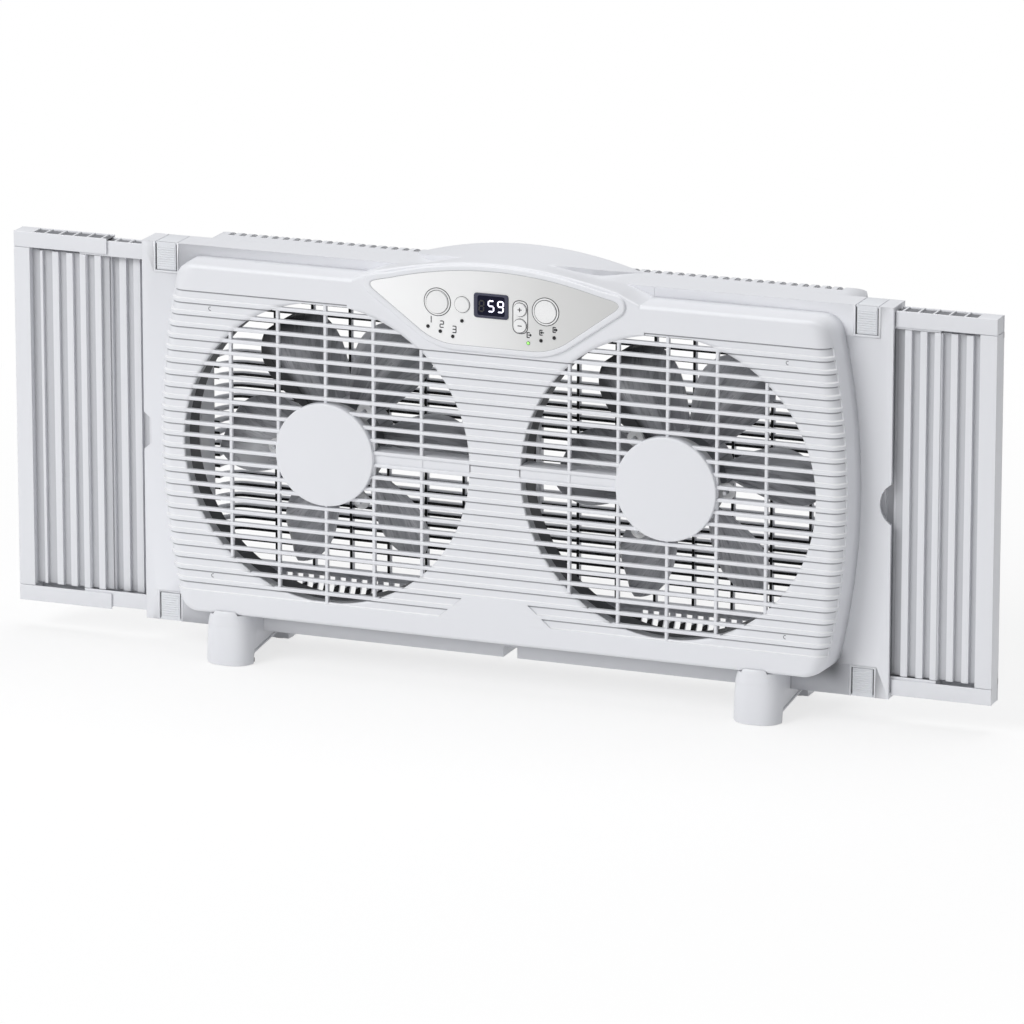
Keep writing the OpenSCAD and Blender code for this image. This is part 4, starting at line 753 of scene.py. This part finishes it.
def addHump():
    # each column is a closed loop in depth and height: up the front, back over the top, and under
    wallX, wallY = np.array(hump["wall"]).T
    dropX, drop = np.array(hump["drop"]).T
    half, faceY, backY, rise = hump["vaultHalf"], layout["faceY"], hump["backY"], hump["round"]
    sharp = [wallX[0], 71.6, half - 0.05, half + 0.05, 96.2, hump["shoulder"], hump["foot"] - 0.1]
    columns = np.array(sorted({*np.linspace(0, hump["foot"], hump["columns"]), *sharp}))
    edge = hump["flatZ"] - 0.25
    turns = np.linspace(0, np.pi / 2, 5)
    frontZ, underZ = hump["underZ"]
    rings = []
    for x in np.concatenate([-columns[:0:-1], columns]):
        away = abs(x)
        front, back = humpFront(away), max(humpBack(away), edge)
        bend = np.interp(away, wallX, wallY)
        flank = away > wallX[0]
        fall = np.interp(away, dropX, drop) if flank else front - back

        def slope(y):
            return front - fall * np.clip((y - faceY) / (bend - faceY), 0, 1)

        ring = [(faceY + 0.1, frontZ)]
        for t in turns:
            y = faceY + rise * (1 - math.cos(t))
            ring.append((y, slope(y) - rise * (1 - math.sin(t))))
        near = min(bend, -0.2)
        ring += [(y, slope(y)) for y in np.linspace(faceY + 4, near, 9)]
        low = slope(near)
        if bend > 0:
            low = max(low, hump["flatZ"] if away < half else edge)
        ring += [(max(y, near), max(slope(y), low)) for y in np.linspace(near, bend, 9)]
        start = min(bend + hump["wallRun"], backY - 0.5)
        ring += [(start - 0.3, back - (0.2 if flank else 0))]
        ring += [(y, back) for y in np.linspace(start, backY, 9)]
        ring += [(backY, underZ), (hump["underY"], underZ), (hump["underY"], frontZ)]
        rings.append([(x, y, z) for y, z in ring])
    pile = Pile()
    pile.run(rings)
    pile.make("humpCover", "white_plastic", angle=32)


def nodeCopy(node, name, change, outside=None, shaded=None):
    # a copy of a CAD node with its corners or faces altered by change(), standing in for it
    mesh = cadNodes[node].data.copy()
    mesh.name = name
    work = bmesh.new()
    work.from_mesh(mesh)
    bmesh.ops.remove_doubles(work, verts=work.verts, dist=1e-6)
    change(work)
    work.to_mesh(mesh)
    work.free()
    mesh.set_sharp_from_angle(angle=math.radians(30))
    if outside:
        mesh.materials[0] = finishes[outside]
    if shaded:
        mesh.materials.append(finishes[shaded])
    piece = bpy.data.objects.new(name, mesh)
    link(piece)
    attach(piece, "root")
    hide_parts(node)


def fromMiddle(point):
    # a point of a mesh in millimetres from the middle of the face
    return (np.array(point) - shift) * 1000


def sinkVault(work):
    # the node's own vault goes down into the flat top, under the hump
    for vert in work.verts:
        x, _, z = fromMiddle(vert.co)
        if z > hump["flatZ"] + 0.02 and abs(x) < hump["shoulder"]:
            vert.co.z = (hump["flatZ"] - 0.6) / 1000


louvres = {"y": (44, 66), "z": (36, 314)}


def shadeLouvres(work):
    # painted shade: the front edges of the louvres and their uprights are painted dark, as they lie in the
    # shade of the wheels
    sinkVault(work)
    (nearY, farY), (lowZ, highZ) = louvres["y"], louvres["z"]
    for face in work.faces:
        _, y, z = fromMiddle(face.calc_center_median())
        if face.normal.y < -0.7 and nearY < y < farY and lowZ < z < highZ:
            face.material_index = 1


addHump()
nodeCopy("main_housing", "housingBody", sinkVault, outside="housing_painted_shade")
nodeCopy("rear_grille", "rearBody", shadeLouvres, shaded="shade_dark")
print("Hump, housing and rear grille are built")

# side panels
# distances along a panel run in from its outer end; heights are from the housing's middle
panels = {
    "midZ": 174.5, "width": 80.0, "wall": 1.5, "rail": 12.5, "webThick": 1.5, "ribs": 5, "pockets": 6,
    "outer": {
        "end": {"left": -422.0, "right": 391.0}, "half": 150.9, "frontY": 3.3, "backY": 20.3,
        "stile": 13.4, "backDrop": 5.0, "webY": 9.0, "webHalf": 136.2,
        "ribFirst": 19.6, "ribPitch": 12.2, "ribWidth": 5.4, "ribFrontY": 6.0,
    },
    "inner": {
        "end": {"left": -366.0, "right": 346.0}, "half": 149.0, "frontY": 5.1, "backY": 18.5,
        "stile": 5.0, "backDrop": 0.0, "webY": 13.8, "webHalf": 137.0,
        "ribFirst": 19.4, "ribPitch": 12.1, "ribWidth": 5.9, "ribFrontY": 10.8,
    },
}


def addPanel(name, kind):
    # a stile and two channel-shaped rails round a thin web with upright ribs
    panel, midZ, wall, width = panels[kind], panels["midZ"], panels["wall"], panels["width"]
    end, half, stile, webY = panel["end"][name], panel["half"], panel["stile"], panel["webY"]
    frontY, backY = panel["frontY"], panel["backY"]
    inY, outY = frontY + 1, backY - 1
    webHigh = panel["webHalf"]
    pile, web, gap = Pile(), Pile(), Pile()

    def block(into, start, stop, y0, y1, z0, z1, soft=0.35):
        x0, x1 = sorted(end - sides[name] * at for at in (start, stop))
        into.box((x0, y0, midZ + min(z0, z1)), (x1, y1, midZ + max(z0, z1)), soft)

    inside = half - panels["rail"]
    block(pile, 0, stile, frontY, backY - 0.06, 0.3 - inside, inside - 0.3, 0.6)
    for side in (-1, 1):
        lip, edge = side * inside, side * half
        block(pile, 0, width, frontY, frontY + wall, lip, edge, 0.5)
        block(pile, 0, width, backY - wall, backY, lip - side * panel["backDrop"], edge, 0.5)
        block(pile, 0.3, stile, inY, outY, lip, edge - side * 0.05, 0.1)
        for k in range(panels["pockets"]):
            at = stile + k * panel["ribPitch"]
            stop = min(at + (1.6 if k else 3.0), width)
            block(pile, at, stop, inY, outY, edge - side * wall, edge - side * 0.07, 0.1)
        # the pockets' floor, painted dark grey as the shade in the pockets
        low, high = edge - side * (wall + 0.1), edge - side * (wall - 0.25)
        block(gap, stile, width - 0.3, inY, outY, low, high, 0.05)
    # the web is painted grey as the shade in the channels between the ribs
    block(web, stile - 0.5, width, webY, webY + panels["webThick"], -webHigh, webHigh, 0.2)
    for k in range(panels["ribs"]):
        at = panel["ribFirst"] + k * panel["ribPitch"]
        # the first rib of the left outer panel is narrow, with a painted shade line beside it
        narrow = 1.6 if (name, kind, k) == ("left", "outer", 0) else 0
        stop = at + panel["ribWidth"] - narrow
        block(pile, at + narrow, stop, panel["ribFrontY"], webY + 0.5, -webHigh, webHigh, 0.5)
        if narrow:
            block(gap, at + 0.3, at + 1.1, webY - 0.2, webY + 0.3, -webHigh, webHigh, 0.05)
    node = "%s_%s_panel" % (name, kind)
    title = name + kind.title()
    pile.make(title + "Panel", "white_panel", node + "_body", node, angle=40)
    web.make(title + "Web", "channel_grey", node + "_body", slot="white_panel")
    gap.make(title + "Pockets", "pocket_grey", node + "_body", slot="white_panel")


for name in sides:
    for kind in ("outer", "inner"):
        addPanel(name, kind)
print("Side panels are built")

# latches
latch = {
    "x": 289.0, "width": 18.0, "low": 305.5, "top": 328.0, "thick": 1.4, "backY": 27.0,
    "grips": 10, "gripPitch": 1.85, "gripHeight": 1.0, "gripOut": 0.35,
    "footHalf": 3.0, "footY": (8, 14), "footZ": 324.0, "slit": 0.9,
}


def addLatch(level, name):
    # a folded plate with ridges to grip, a foot that holds the panel, and a slit on each side with painted
    # shade in it
    middle, half, low, top = latch["x"], latch["width"] / 2, latch["low"], latch["top"]
    thick, slit, footHalf = latch["thick"], latch["slit"], latch["footHalf"]

    def block(into, x0, x1, y0, y1, z0, z1, soft=0.25):
        x0, x1 = sorted(sides[name] * (middle + x) for x in (x0, x1))
        z0, z1 = sorted(z if level == "top" else 2 * panels["midZ"] - z for z in (z0, z1))
        into.box((x0, y0, z0), (x1, y1, z1), soft)

    pile = Pile()
    block(pile, slit - half, half - slit, 0, thick, low + 0.4, top)
    block(pile, 0.3 - half, half - 0.3, 0.2, latch["backY"], top - thick, top)
    block(pile, -footHalf, footHalf, *latch["footY"], latch["footZ"], top - 1)
    for k in range(latch["grips"]):
        z = low + 1.4 + k * latch["gripPitch"]
        block(pile, 1.6 - half, half - 1.6, -latch["gripOut"], 0.3, z, z + latch["gripHeight"], 0.3)
    node = "%s_%s_latch" % (level, name)
    title = level + name.title() + "Latch"
    pile.make(title, "latch_plastic", node + "_body", node, angle=40, bevel=0.12)
    # painted shade: a dark strip in each slit
    slits = Pile()
    for turn in (-1, 1):
        x = turn * (half - slit / 2 + 0.05)
        block(slits, x - slit / 2, x + slit / 2, thick - 0.4, thick + 0.25, low - 0.2, top - 1.8, 0.05)
    slits.make(title + "Slits", "shade_dark", slot="black_plastic")


for level in ("top", "bottom"):
    for name in sides:
        addLatch(level, name)
print("Latches are built")

# feet: levels and lip hold (height, inset, lean back, back edge), bar and flange are side outlines
foot = {
    "at": {"left": -226.6, "right": 213.4}, "half": 19.6, "frontY": -38.0, "nose": 15.0, "lipY": -34.45,
    "levels": [(0.5, 0.3, 0.3, -25), (2.0, 0.0, 0.0, -24.5), (19, 0.5, 0.1, -20),
               (32, 1.3, 0.3, -13), (37, 2.2, 0.5, -9), (40.6, 3.4, 0.8, -6)],
    "lip": [(32.0, 1.35, 0.32), (37.0, 2.25, 0.52), (40.6, 3.45, 0.82), (43.0, 5.0, 1.1), (43.9, 6.2, 1.7)],
    "bar": [(-26, 7.4), (27, 13.2), (60, 16), (60, 20.8), (-0.3, 20.8), (-0.3, 40.3), (-9, 40.3), (-20, 20)],
    "flange": [(-25.5, 7.3), (27, 13.1), (27, 14.6), (-25.5, 8.8)], "barHalf": 17.6, "flangeHalf": 18.3,
    "heel": {"x": 218.5, "half": 10.0, "y": (48, 72), "z": (1.0, 20.7)},
}


def footNose(centre, inset, lean, turns):
    # the front of the boot's plan: half an oval, a little squarer than an ellipse
    across = np.sign(np.cos(turns)) * np.abs(np.cos(turns)) ** 0.75
    depth = foot["frontY"] + lean + foot["nose"] * (1 - np.sin(turns))
    return list(zip(centre + (foot["half"] - inset) * across, depth))


def addFoot(name):
    centre, half = foot["at"][name], foot["half"]
    pile = Pile()
    rings = []
    for z, inset, lean, back in foot["levels"]:
        plan = footNose(centre, inset, lean, np.linspace(0, np.pi, 33))
        plan += [(centre - half + inset, back), (centre + half - inset, back)]
        rings.append([(x, min(y, back), z) for x, y in plan])
    pile.run(rings)
    # the lip in front of the shell's lower edge
    rings = []
    for z, inset, lean in foot["lip"]:
        start = math.asin(1 - (foot["lipY"] - foot["frontY"] - lean) / foot["nose"])
        turns = np.linspace(start, np.pi - start, 25)
        rings.append([(x, y, z) for x, y in footNose(centre, inset, lean, turns)])
    pile.run(rings)
    for part in ("bar", "flange"):
        reach = foot[part + "Half"]
        pile.run([[(centre + x, y, z) for y, z in foot[part]] for x in (-reach, reach)])
    heel = foot["heel"]
    low, high = ((sides[name] * heel["x"] + turn * heel["half"], heel["y"][end], heel["z"][end])
                 for end, turn in enumerate((-1, 1)))
    pile.box(low, high, 1.0)
    pile.make(name + "Foot", "white_plastic", stands=name + "_foot", angle=40)


for name in sides:
    addFoot(name)

# painted shade: dark rings where the shell's screws pull it in, each open on its right
dimple = {"at": (237.5, 107.5), "radius": 1.65, "ring": 0.5, "open": 70}


def addDimples():
    pile = Pile()
    floorY = layout["faceY"] + grooves["depth"]
    outer, inner = dimple["radius"], dimple["radius"] - dimple["ring"]
    turns = np.radians(np.linspace(dimple["open"], 360 - dimple["open"], 24))
    section = [(outer, 0.3), (outer, -0.1), (inner, -0.1), (inner, 0.3)]
    for x, z in itertools.product((-1, 1), repeat=2):
        x, z = x * dimple["at"][0], layout["hubZ"] + z * dimple["at"][1]
        pile.run([
            [(x + r * math.cos(t), floorY + deep, z + r * math.sin(t)) for r, deep in section]
            for t in turns])
    pile.make("shellDimples", "pocket_grey", slot="white_plastic", angle=60)


addDimples()
print("Feet are built")

# controls: places are from the middle of the display, and a rise is the height above the lens
controls = {
    "middleZ": 310.0, "lensY": -35.25, "tip": (107.0, 10.4), "tipSoft": 11.0,
    "crown": 27.0, "crownFall": 620.0, "arcHalf": 84.0, "foot": (47.8, -32.9), "footSoft": 17.0,
    "rimWidth": 4.3, "rimTipExtra": 1.0, "underRim": -2.85,
}
# sections round an outline, as (inset, rise)
sections = {
    "rimOutside": [(0.6, -0.65), (0.0, -0.05), (-0.12, 0.35), (-0.4, 0.62), (-0.8, 0.75), (-1.6, 0.75)],
    "rimBack": [(1.4, 0.75), (0.8, 0.65), (0.35, 0.3), (0.08, -0.25), (0.0, -1.05), (0.0, -2.85)],
    "lens": [(-0.3, -1.25), (-0.3, -0.15), (-0.1, 0), (0.6, 0)],
    "lensGap": [(-0.1, -0.15), (-0.1, 0.04), (0.3, 0.04), (0.3, -0.15)],
    "capTrim": [(0, -0.1), (0, 0.25), (0.35, 0.25), (0.35, -0.1)],
    "trim": [(-0.1, -0.1), (-0.1, 0.1), (0.2, 0.18), (0.5, 0.1), (0.5, -0.1)],
    "pill": [(0.5, -0.15), (0.5, -0.01), (0.8, 0.02), (2.2, 0.02)],
    "glass": [(0, -1.05), (0, 0.31), (0.6, 0.33)],
    "light": [(0, -0.65), (0, 0.35), (0.3, 0.47), (0.8, 0.53)],
}
buttons = {
    "speed": {"at": (-46.2, -0.5), "cap": 8.9, "ring": 11.1},
    "mode": {"at": (-25.7, -0.9), "cap": 5.7, "ring": 6.4},
    "plus": {"at": (21.9, -0.7), "cap": 5.1, "ring": 0},
    "minus": {"at": (21.9, -13.3), "cap": 5.1, "ring": 0},
    "airflow": {"at": (42.7, -0.6), "cap": 8.9, "ring": 11.1},
}
pill = {"centre": (22.0, -6.6), "size": (12.6, 26.2), "corner": 6.2}
display = {"centre": (-1.8, 0.0), "size": (28.4, 19.4), "window": (22.4, 15.6), "corner": 2.6}
lights = [
    (-54, -20.3), (-43.8, -23.4), (-33.5, -26.6), (-25.9, -13.7), (28.6, -26.3), (39, -23.5), (49.8, -20.4)]
litLight = 4
lightRadius = 1.35


def lensLoop():
    # the lens: an arc above, rounded tips, straight slopes to a rounded foot
    tip, foot = controls["tip"], controls["foot"]
    x = np.linspace(-controls["arcHalf"], controls["arcHalf"], 25)
    arc = [(u, controls["crown"] - u ** 2 / controls["crownFall"]) for u in x]
    corners = arc + [tip, foot, (-foot[0], foot[1]), (-tip[0], tip[1])]
    tipSoft, footSoft = controls["tipSoft"], controls["footSoft"]
    soft = [0.01] * len(arc) + [tipSoft, footSoft, footSoft, tipSoft]
    return thin(softLoop(corners, soft, 12))


def thin(loop, least=0.3):
    # a loop without points that crowd each other
    kept = [loop[0]]
    for point in loop[1:]:
        if np.linalg.norm(point - kept[-1]) > least:
            kept.append(point)
    return np.array(kept)


def outward(loop):
    # unit normals of a loop, away from its middle
    along = np.roll(loop, -1, axis=0) - np.roll(loop, 1, axis=0)
    normal = np.stack([along[:, 1], -along[:, 0]], 1)
    normal /= np.linalg.norm(normal, axis=1)[:, None]
    centre = loop.mean(axis=0)
    return normal * np.sign(np.sum(normal * (loop - centre), axis=1))[:, None]


def raised(loop, rise):
    # a flat loop of x and height set in the body at a height above the lens
    y = np.broadcast_to(controls["lensY"] - rise, len(loop))
    return np.stack([loop[:, 0], y, loop[:, 1] + controls["middleZ"]], 1)


def insets(loop, section):
    # the rings of a section of (inset, rise) carried round a loop
    normal = outward(loop)
    return [raised(loop - normal * inset, rise) for inset, rise in section]


def plate(pile, loop, section):
    # a flat piece whose edge is the section and whose two ends are capped by a fan
    rings = insets(loop, section)
    pile.grid(np.stack(rings), around=True)
    for ring, turn in ((rings[0], 1), (rings[-1], -1)):
        size = len(ring)
        faces = [[i, (i + 1) % size, size][::turn] for i in range(size)]
        pile.add(np.concatenate([ring, ring.mean(axis=0)[None]]), faces)


def roundBox(centre, size, corner, steps=6):
    # corners run the same way round as the lens's loop
    (cx, cz), (w, h) = centre, (size[0] / 2, size[1] / 2)
    corners = [(cx - w, cz + h), (cx + w, cz + h), (cx + w, cz - h), (cx - w, cz - h)]
    return thin(softLoop(corners, corner, steps), 0.05)


def circleLoop(centre, radius, count=64):
    angle = np.linspace(0, -2 * np.pi, count, endpoint=False)
    return np.stack([centre[0] + radius * np.cos(angle), centre[1] + radius * np.sin(angle)], 1)


def addRim():
    # the shell's raised border, a little wider at the lens's tips
    loop = lensLoop()
    normal = outward(loop)
    width = controls["rimWidth"] + controls["rimTipExtra"] * np.clip((np.abs(loop[:, 0]) - 88) / 12, 0, 1)
    rings = insets(loop, sections["rimOutside"])
    rings += [raised(loop + normal * (width - inset)[:, None], rise) for inset, rise in sections["rimBack"]]
    rings += insets(loop, [(0.6, controls["underRim"])])
    pile = Pile()
    pile.tube(rings)
    pile.make("controlRim", "white_plastic", angle=60)


def addLens():
    lens, gap = Pile(), Pile()
    plate(lens, lensLoop(), sections["lens"])
    lens.make("controlLens", "silver_lens", stands="control_lens", angle=40)
    # painted shadow: a grey line round the lens's edge
    gap.tube(insets(lensLoop(), sections["lensGap"]))
    gap.make("lensGap", "duct_grey", slot="silver_lens", angle=40)


def addButtons():
    trim, collar = Pile(), Pile()
    for name, item in buttons.items():
        radius, ring = item["cap"], item["ring"]
        soft = 0.16 * radius
        dome = [(0.1, -0.2), (0.05, 0.45), (0.2, 0.7), (0.6 * soft, 0.87),
                (1.5 * soft, 1.05), (3.2 * soft, 1.12), (0.85 * radius, 1.15)]
        cap = Pile()
        plate(cap, circleLoop(item["at"], radius), dome)
        cap.make(name + "Cap", "button_plastic", name + "_button_body", angle=60)
        # painted shadow: a dark ring round each cap's edge
        trim.tube(insets(circleLoop(item["at"], radius + 0.45, 96), sections["capTrim"]))
        if ring:
            loop = circleLoop(item["at"], ring, 96)
            far = ring - radius - 0.4
            trim.tube(insets(loop, sections["trim"]))
            collar.tube(insets(loop, [
                (0.5, -0.15), (0.5, 0.22), (0.8, 0.35), (far - 0.15, 0.35), (far, 0.1), (far, -0.15)]))
    loop = roundBox(pill["centre"], pill["size"], pill["corner"], 10)
    trim.tube(insets(loop, sections["trim"]))
    plate(collar, loop, sections["pill"])
    trim.make("buttonTrim", "trim_dark", slot="black_plastic", angle=60)
    collar.make("buttonCollars", "button_plastic", angle=60)


segments = {
    "top": ((0, 1), (1, 1)), "mid": ((0, 0.5), (1, 0.5)), "low": ((0, 0), (1, 0)),
    "leftHigh": ((0, 0.5), (0, 1)), "leftLow": ((0, 0), (0, 0.5)),
    "rightHigh": ((1, 0.5), (1, 1)), "rightLow": ((1, 0), (1, 0.5)),
}
digits = {
    "1": ("rightHigh", "rightLow"),
    "2": ("top", "rightHigh", "mid", "leftLow", "low"),
    "3": ("top", "rightHigh", "mid", "rightLow", "low"),
    "5": ("top", "leftHigh", "mid", "rightLow", "low"),
    "8": tuple(segments),
    "9": ("top", "leftHigh", "rightHigh", "mid", "rightLow", "low"),
}


marks = {
    "digitRise": 0.34, "buttonRise": 1.17, "thick": 0.06, "ink": 0.85, "buttonInk": 0.7, "lean": 0.35,
    "numberSize": (2.9, 5.0), "numberInk": 0.8, "numberFrom": (1.2, 5.6), "iconFrom": (0.6, 6.3),
    "lit": [("5", (-1.9, -0.1)), ("9", (5.9, -0.1))], "litSize": (4.4, 8.3),
    "ghost": ("8", (-9.7, -0.5)), "ghostSize": (3.6, 8.3), "digitWidth": 1.2,
}


def stroke(pile, start, end, width, rise):
    # a flat bar from start to end, with pointed ends
    start, end = np.array(start, float), np.array(end, float)
    along = (end - start) / np.linalg.norm(end - start) * width / 2
    across = np.array([along[1], -along[0]])
    loop = np.array([start - along, start - across, end - across, end + along, end + across, start + across])
    pile.run([raised(loop, rise), raised(loop, rise + marks["thick"])])


def digit(pile, mark, centre, size, width, rise, lean=0.0, spare=0.12):
    # the lit segments of a digit, each drawn back from the corners by spare widths
    for name in digits[mark]:
        start, end = (np.array([
            centre[0] + (u - 0.5) * size[0] + lean * (v - 0.5), centre[1] + (v - 0.5) * size[1]])
            for u, v in segments[name])
        back = (end - start) / np.linalg.norm(end - start) * width * (0.5 + spare)
        stroke(pile, start + back, end - back, width, rise)


def addDisplay():
    # the frame slopes in to the window all round
    centre, size = display["centre"], np.array(display["size"])
    outer = roundBox(centre, size, display["corner"])
    inner = centre + (outer - centre) * display["window"] / size
    frameRings = insets(outer, [(0, 0.05), (0, 0.55), (0.4, 0.75)])
    for share, rise in ((0.45, 0.7), (1, 0.35), (1, 0.05)):
        frameRings.append(raised(outer + (inner - outer) * share, rise))
    pile = Pile()
    pile.tube(frameRings)
    pile.make("displayFrame", "display_frame", slot="black_plastic", angle=40)
    glass, lit, ghost = Pile(), Pile(), Pile()
    plate(glass, roundBox(centre, size - 0.8, 2.0), sections["glass"])
    glass.make("displayGlass", "display_glass", stands="display_window")
    look = (marks["digitWidth"], marks["digitRise"], marks["lean"])
    for mark, at in marks["lit"]:
        digit(lit, mark, at, marks["litSize"], *look)
    digit(ghost, *marks["ghost"], marks["ghostSize"], *look)
    lit.make("displayDigits", "digit_glow", slot="display_glass")
    ghost.make("displayGhost", "digit_ghost", slot="display_glass")


def addLights():
    for index, at in enumerate(lights):
        pile = Pile()
        plate(pile, circleLoop(at, lightRadius, 32), sections["light"])
        finish = "light_green" if index == litLight else "light_pipe"
        pile.make("light%d" % (index + 1), finish, slot="light_pipe", angle=60)


def airflowIcon(pile, x, z, kind):
    # a frame open on its right, and an arrow through it: out, in or both
    lines = [
        ((-1.6, -1.9), (-1.6, 1.9)), ((-1.4, -1.9), (0.4, -1.9)),
        ((-1.4, 1.9), (0.4, 1.9)), ((-0.6, 0), (1.6, 0))]
    heads = [(1.7, -0.8), (-0.7, 0.8)]
    for at, back in heads if kind == 2 else heads[kind:kind + 1]:
        lines += [((at, 0), (at + back, side * 0.8)) for side in (-1, 1)]
    for (x0, z0), (x1, z1) in lines:
        stroke(pile, (x + x0, z + z0), (x + x1, z + z1), marks["ink"], 0)


def addMarks():
    pile = Pile()
    (shiftX, shiftZ), (iconX, iconZ) = marks["numberFrom"], marks["iconFrom"]
    for mark, (x, z) in zip("123", lights):
        digit(pile, mark, (x + shiftX, z + shiftZ), marks["numberSize"], marks["numberInk"], 0, spare=-0.2)
    for kind, (x, z) in enumerate(lights[litLight:]):
        airflowIcon(pile, x + iconX, z + iconZ, kind)
    pile.make("lensMarks", "print_grey", slot="black_plastic")
    for name, strokes in (("plus", ((1.5, 0), (0, 1.5))), ("minus", ((1.5, 0),))):
        pile = Pile()
        x, z = buttons[name]["at"]
        for u, v in strokes:
            stroke(pile, (x - u, z - v), (x + u, z + v), marks["buttonInk"], marks["buttonRise"])
        pile.make(name + "Mark", "print_grey", name + "_button_body", slot="black_plastic")


addRim()
addLens()
addButtons()
addDisplay()
addLights()
addMarks()
print("Controls are built")

# floor, light and camera
studio = {
    "aim": (6.85, -14.0, 142.6),
    "distance": 5668.0,
    "azimuth": 21.48,
    "elevation": 15.19,
    "lens": 258.2,
    "floorSize": 3.4,
    "world": 0.3,
}


def paleSurface(name, colour, glow):
    # lit by the lamps for the object's sake; where the camera sees it, it is nearly white near the
    # middle and white further out
    paint = Paint(name)
    rays = paint.tree.nodes.new("ShaderNodeLightPath").outputs
    seen = Wire(paint, rays["Is Camera Ray"]) + Wire(paint, rays["Is Glossy Ray"])
    seen = seen + Wire(paint, rays["Is Transmission Ray"])
    white = paint.node("Emission", {}, {"Color": (1, 1, 1, 1), "Strength": 1.0})
    body = Wire(paint, paint.shader.outputs[0])
    where = paint.node("TexCoord", output="Object")
    away = paint.node("VectorMath", {"operation": "LENGTH"}, {0: where}, "Value")
    share = glow + (1 - glow) * away.step(0.45, 1.1)
    mixed = paint.node("MixShader", {}, {0: seen.capped() * share, 1: body, 2: white})
    paint.tree.links.new(mixed.out, paint.tree.nodes["Material Output"].inputs[0])
    return paint.finish(Base_Color=colour, Roughness=0.9, Specular_IOR_Level=0.1)


def addFloor():
    half = studio["floorSize"] / 2
    mesh = bpy.data.meshes.new("studioFloor")
    corners = [(-half, -half, 0), (half, -half, 0), (half, half, 0), (-half, half, 0)]
    mesh.from_pydata(corners, [], [(0, 1, 2, 3)])
    floor = bpy.data.objects.new("studioFloor", mesh)
    link(floor)
    mesh.materials.append(paleSurface("floorPaper", rgb(250, 250, 250), 0.72))


def addWorld():
    world = bpy.data.worlds.new("studioWorld")
    bpy.context.scene.world = world
    world.use_nodes = True
    tree = world.node_tree
    soft = tree.nodes["Background"]
    soft.inputs["Color"].default_value = (0.97, 0.98, 1, 1)
    soft.inputs["Strength"].default_value = studio["world"]
    white, rays, mix, both = (tree.nodes.new("ShaderNode" + kind) for kind in (
        "Background", "LightPath", "MixShader", "Math"))
    white.inputs["Color"].default_value = (1, 1, 1, 1)
    both.operation = "MAXIMUM"
    for start, end in (
            (rays.outputs["Is Camera Ray"], both.inputs[0]),
            (rays.outputs["Is Transmission Ray"], both.inputs[1]),
            (both.outputs[0], mix.inputs[0]),
            (soft.outputs[0], mix.inputs[1]),
            (white.outputs[0], mix.inputs[2]),
            (mix.outputs[0], tree.nodes["World Output"].inputs[0])):
        tree.links.new(start, end)


def aimed(obj, at, target):
    obj.location = at
    obj.rotation_euler = (Vector(target) - Vector(at)).to_track_quat("-Z", "Y").to_euler()
    link(obj)


lamps = {
    "keyLamp": ((-2.3, -4.0, 3.6), 3.0, 190),
    "fillLamp": ((1.6, -3.6, 0.9), 2.2, 4),
    "topLamp": ((0.2, 0.6, 3.0), 2.4, 46),
}


def addLamps():
    for name, (at, size, power) in lamps.items():
        light = bpy.data.lights.new(name, "AREA")
        light.size = size
        light.energy = power
        aimed(bpy.data.objects.new(name, light), at, (0.0, 0.0, 0.18))


def addCamera():
    turn, lift = math.radians(studio["azimuth"]), math.radians(studio["elevation"])
    away = np.array([math.sin(turn) * math.cos(lift), -math.cos(turn) * math.cos(lift), math.sin(lift)])
    target = place(studio["aim"])[0]
    data = bpy.data.cameras.new("viewCamera")
    data.lens = studio["lens"]
    data.sensor_width = 36.0
    data.clip_end = 50
    camera = bpy.data.objects.new("viewCamera", data)
    aimed(camera, tuple(target + away * studio["distance"] / 1000), tuple(target))
    bpy.context.scene.camera = camera


addFloor()
addWorld()
addLamps()
addCamera()
bpy.context.scene.view_settings.view_transform = "Standard"
print("Floor, lamps and camera are set")
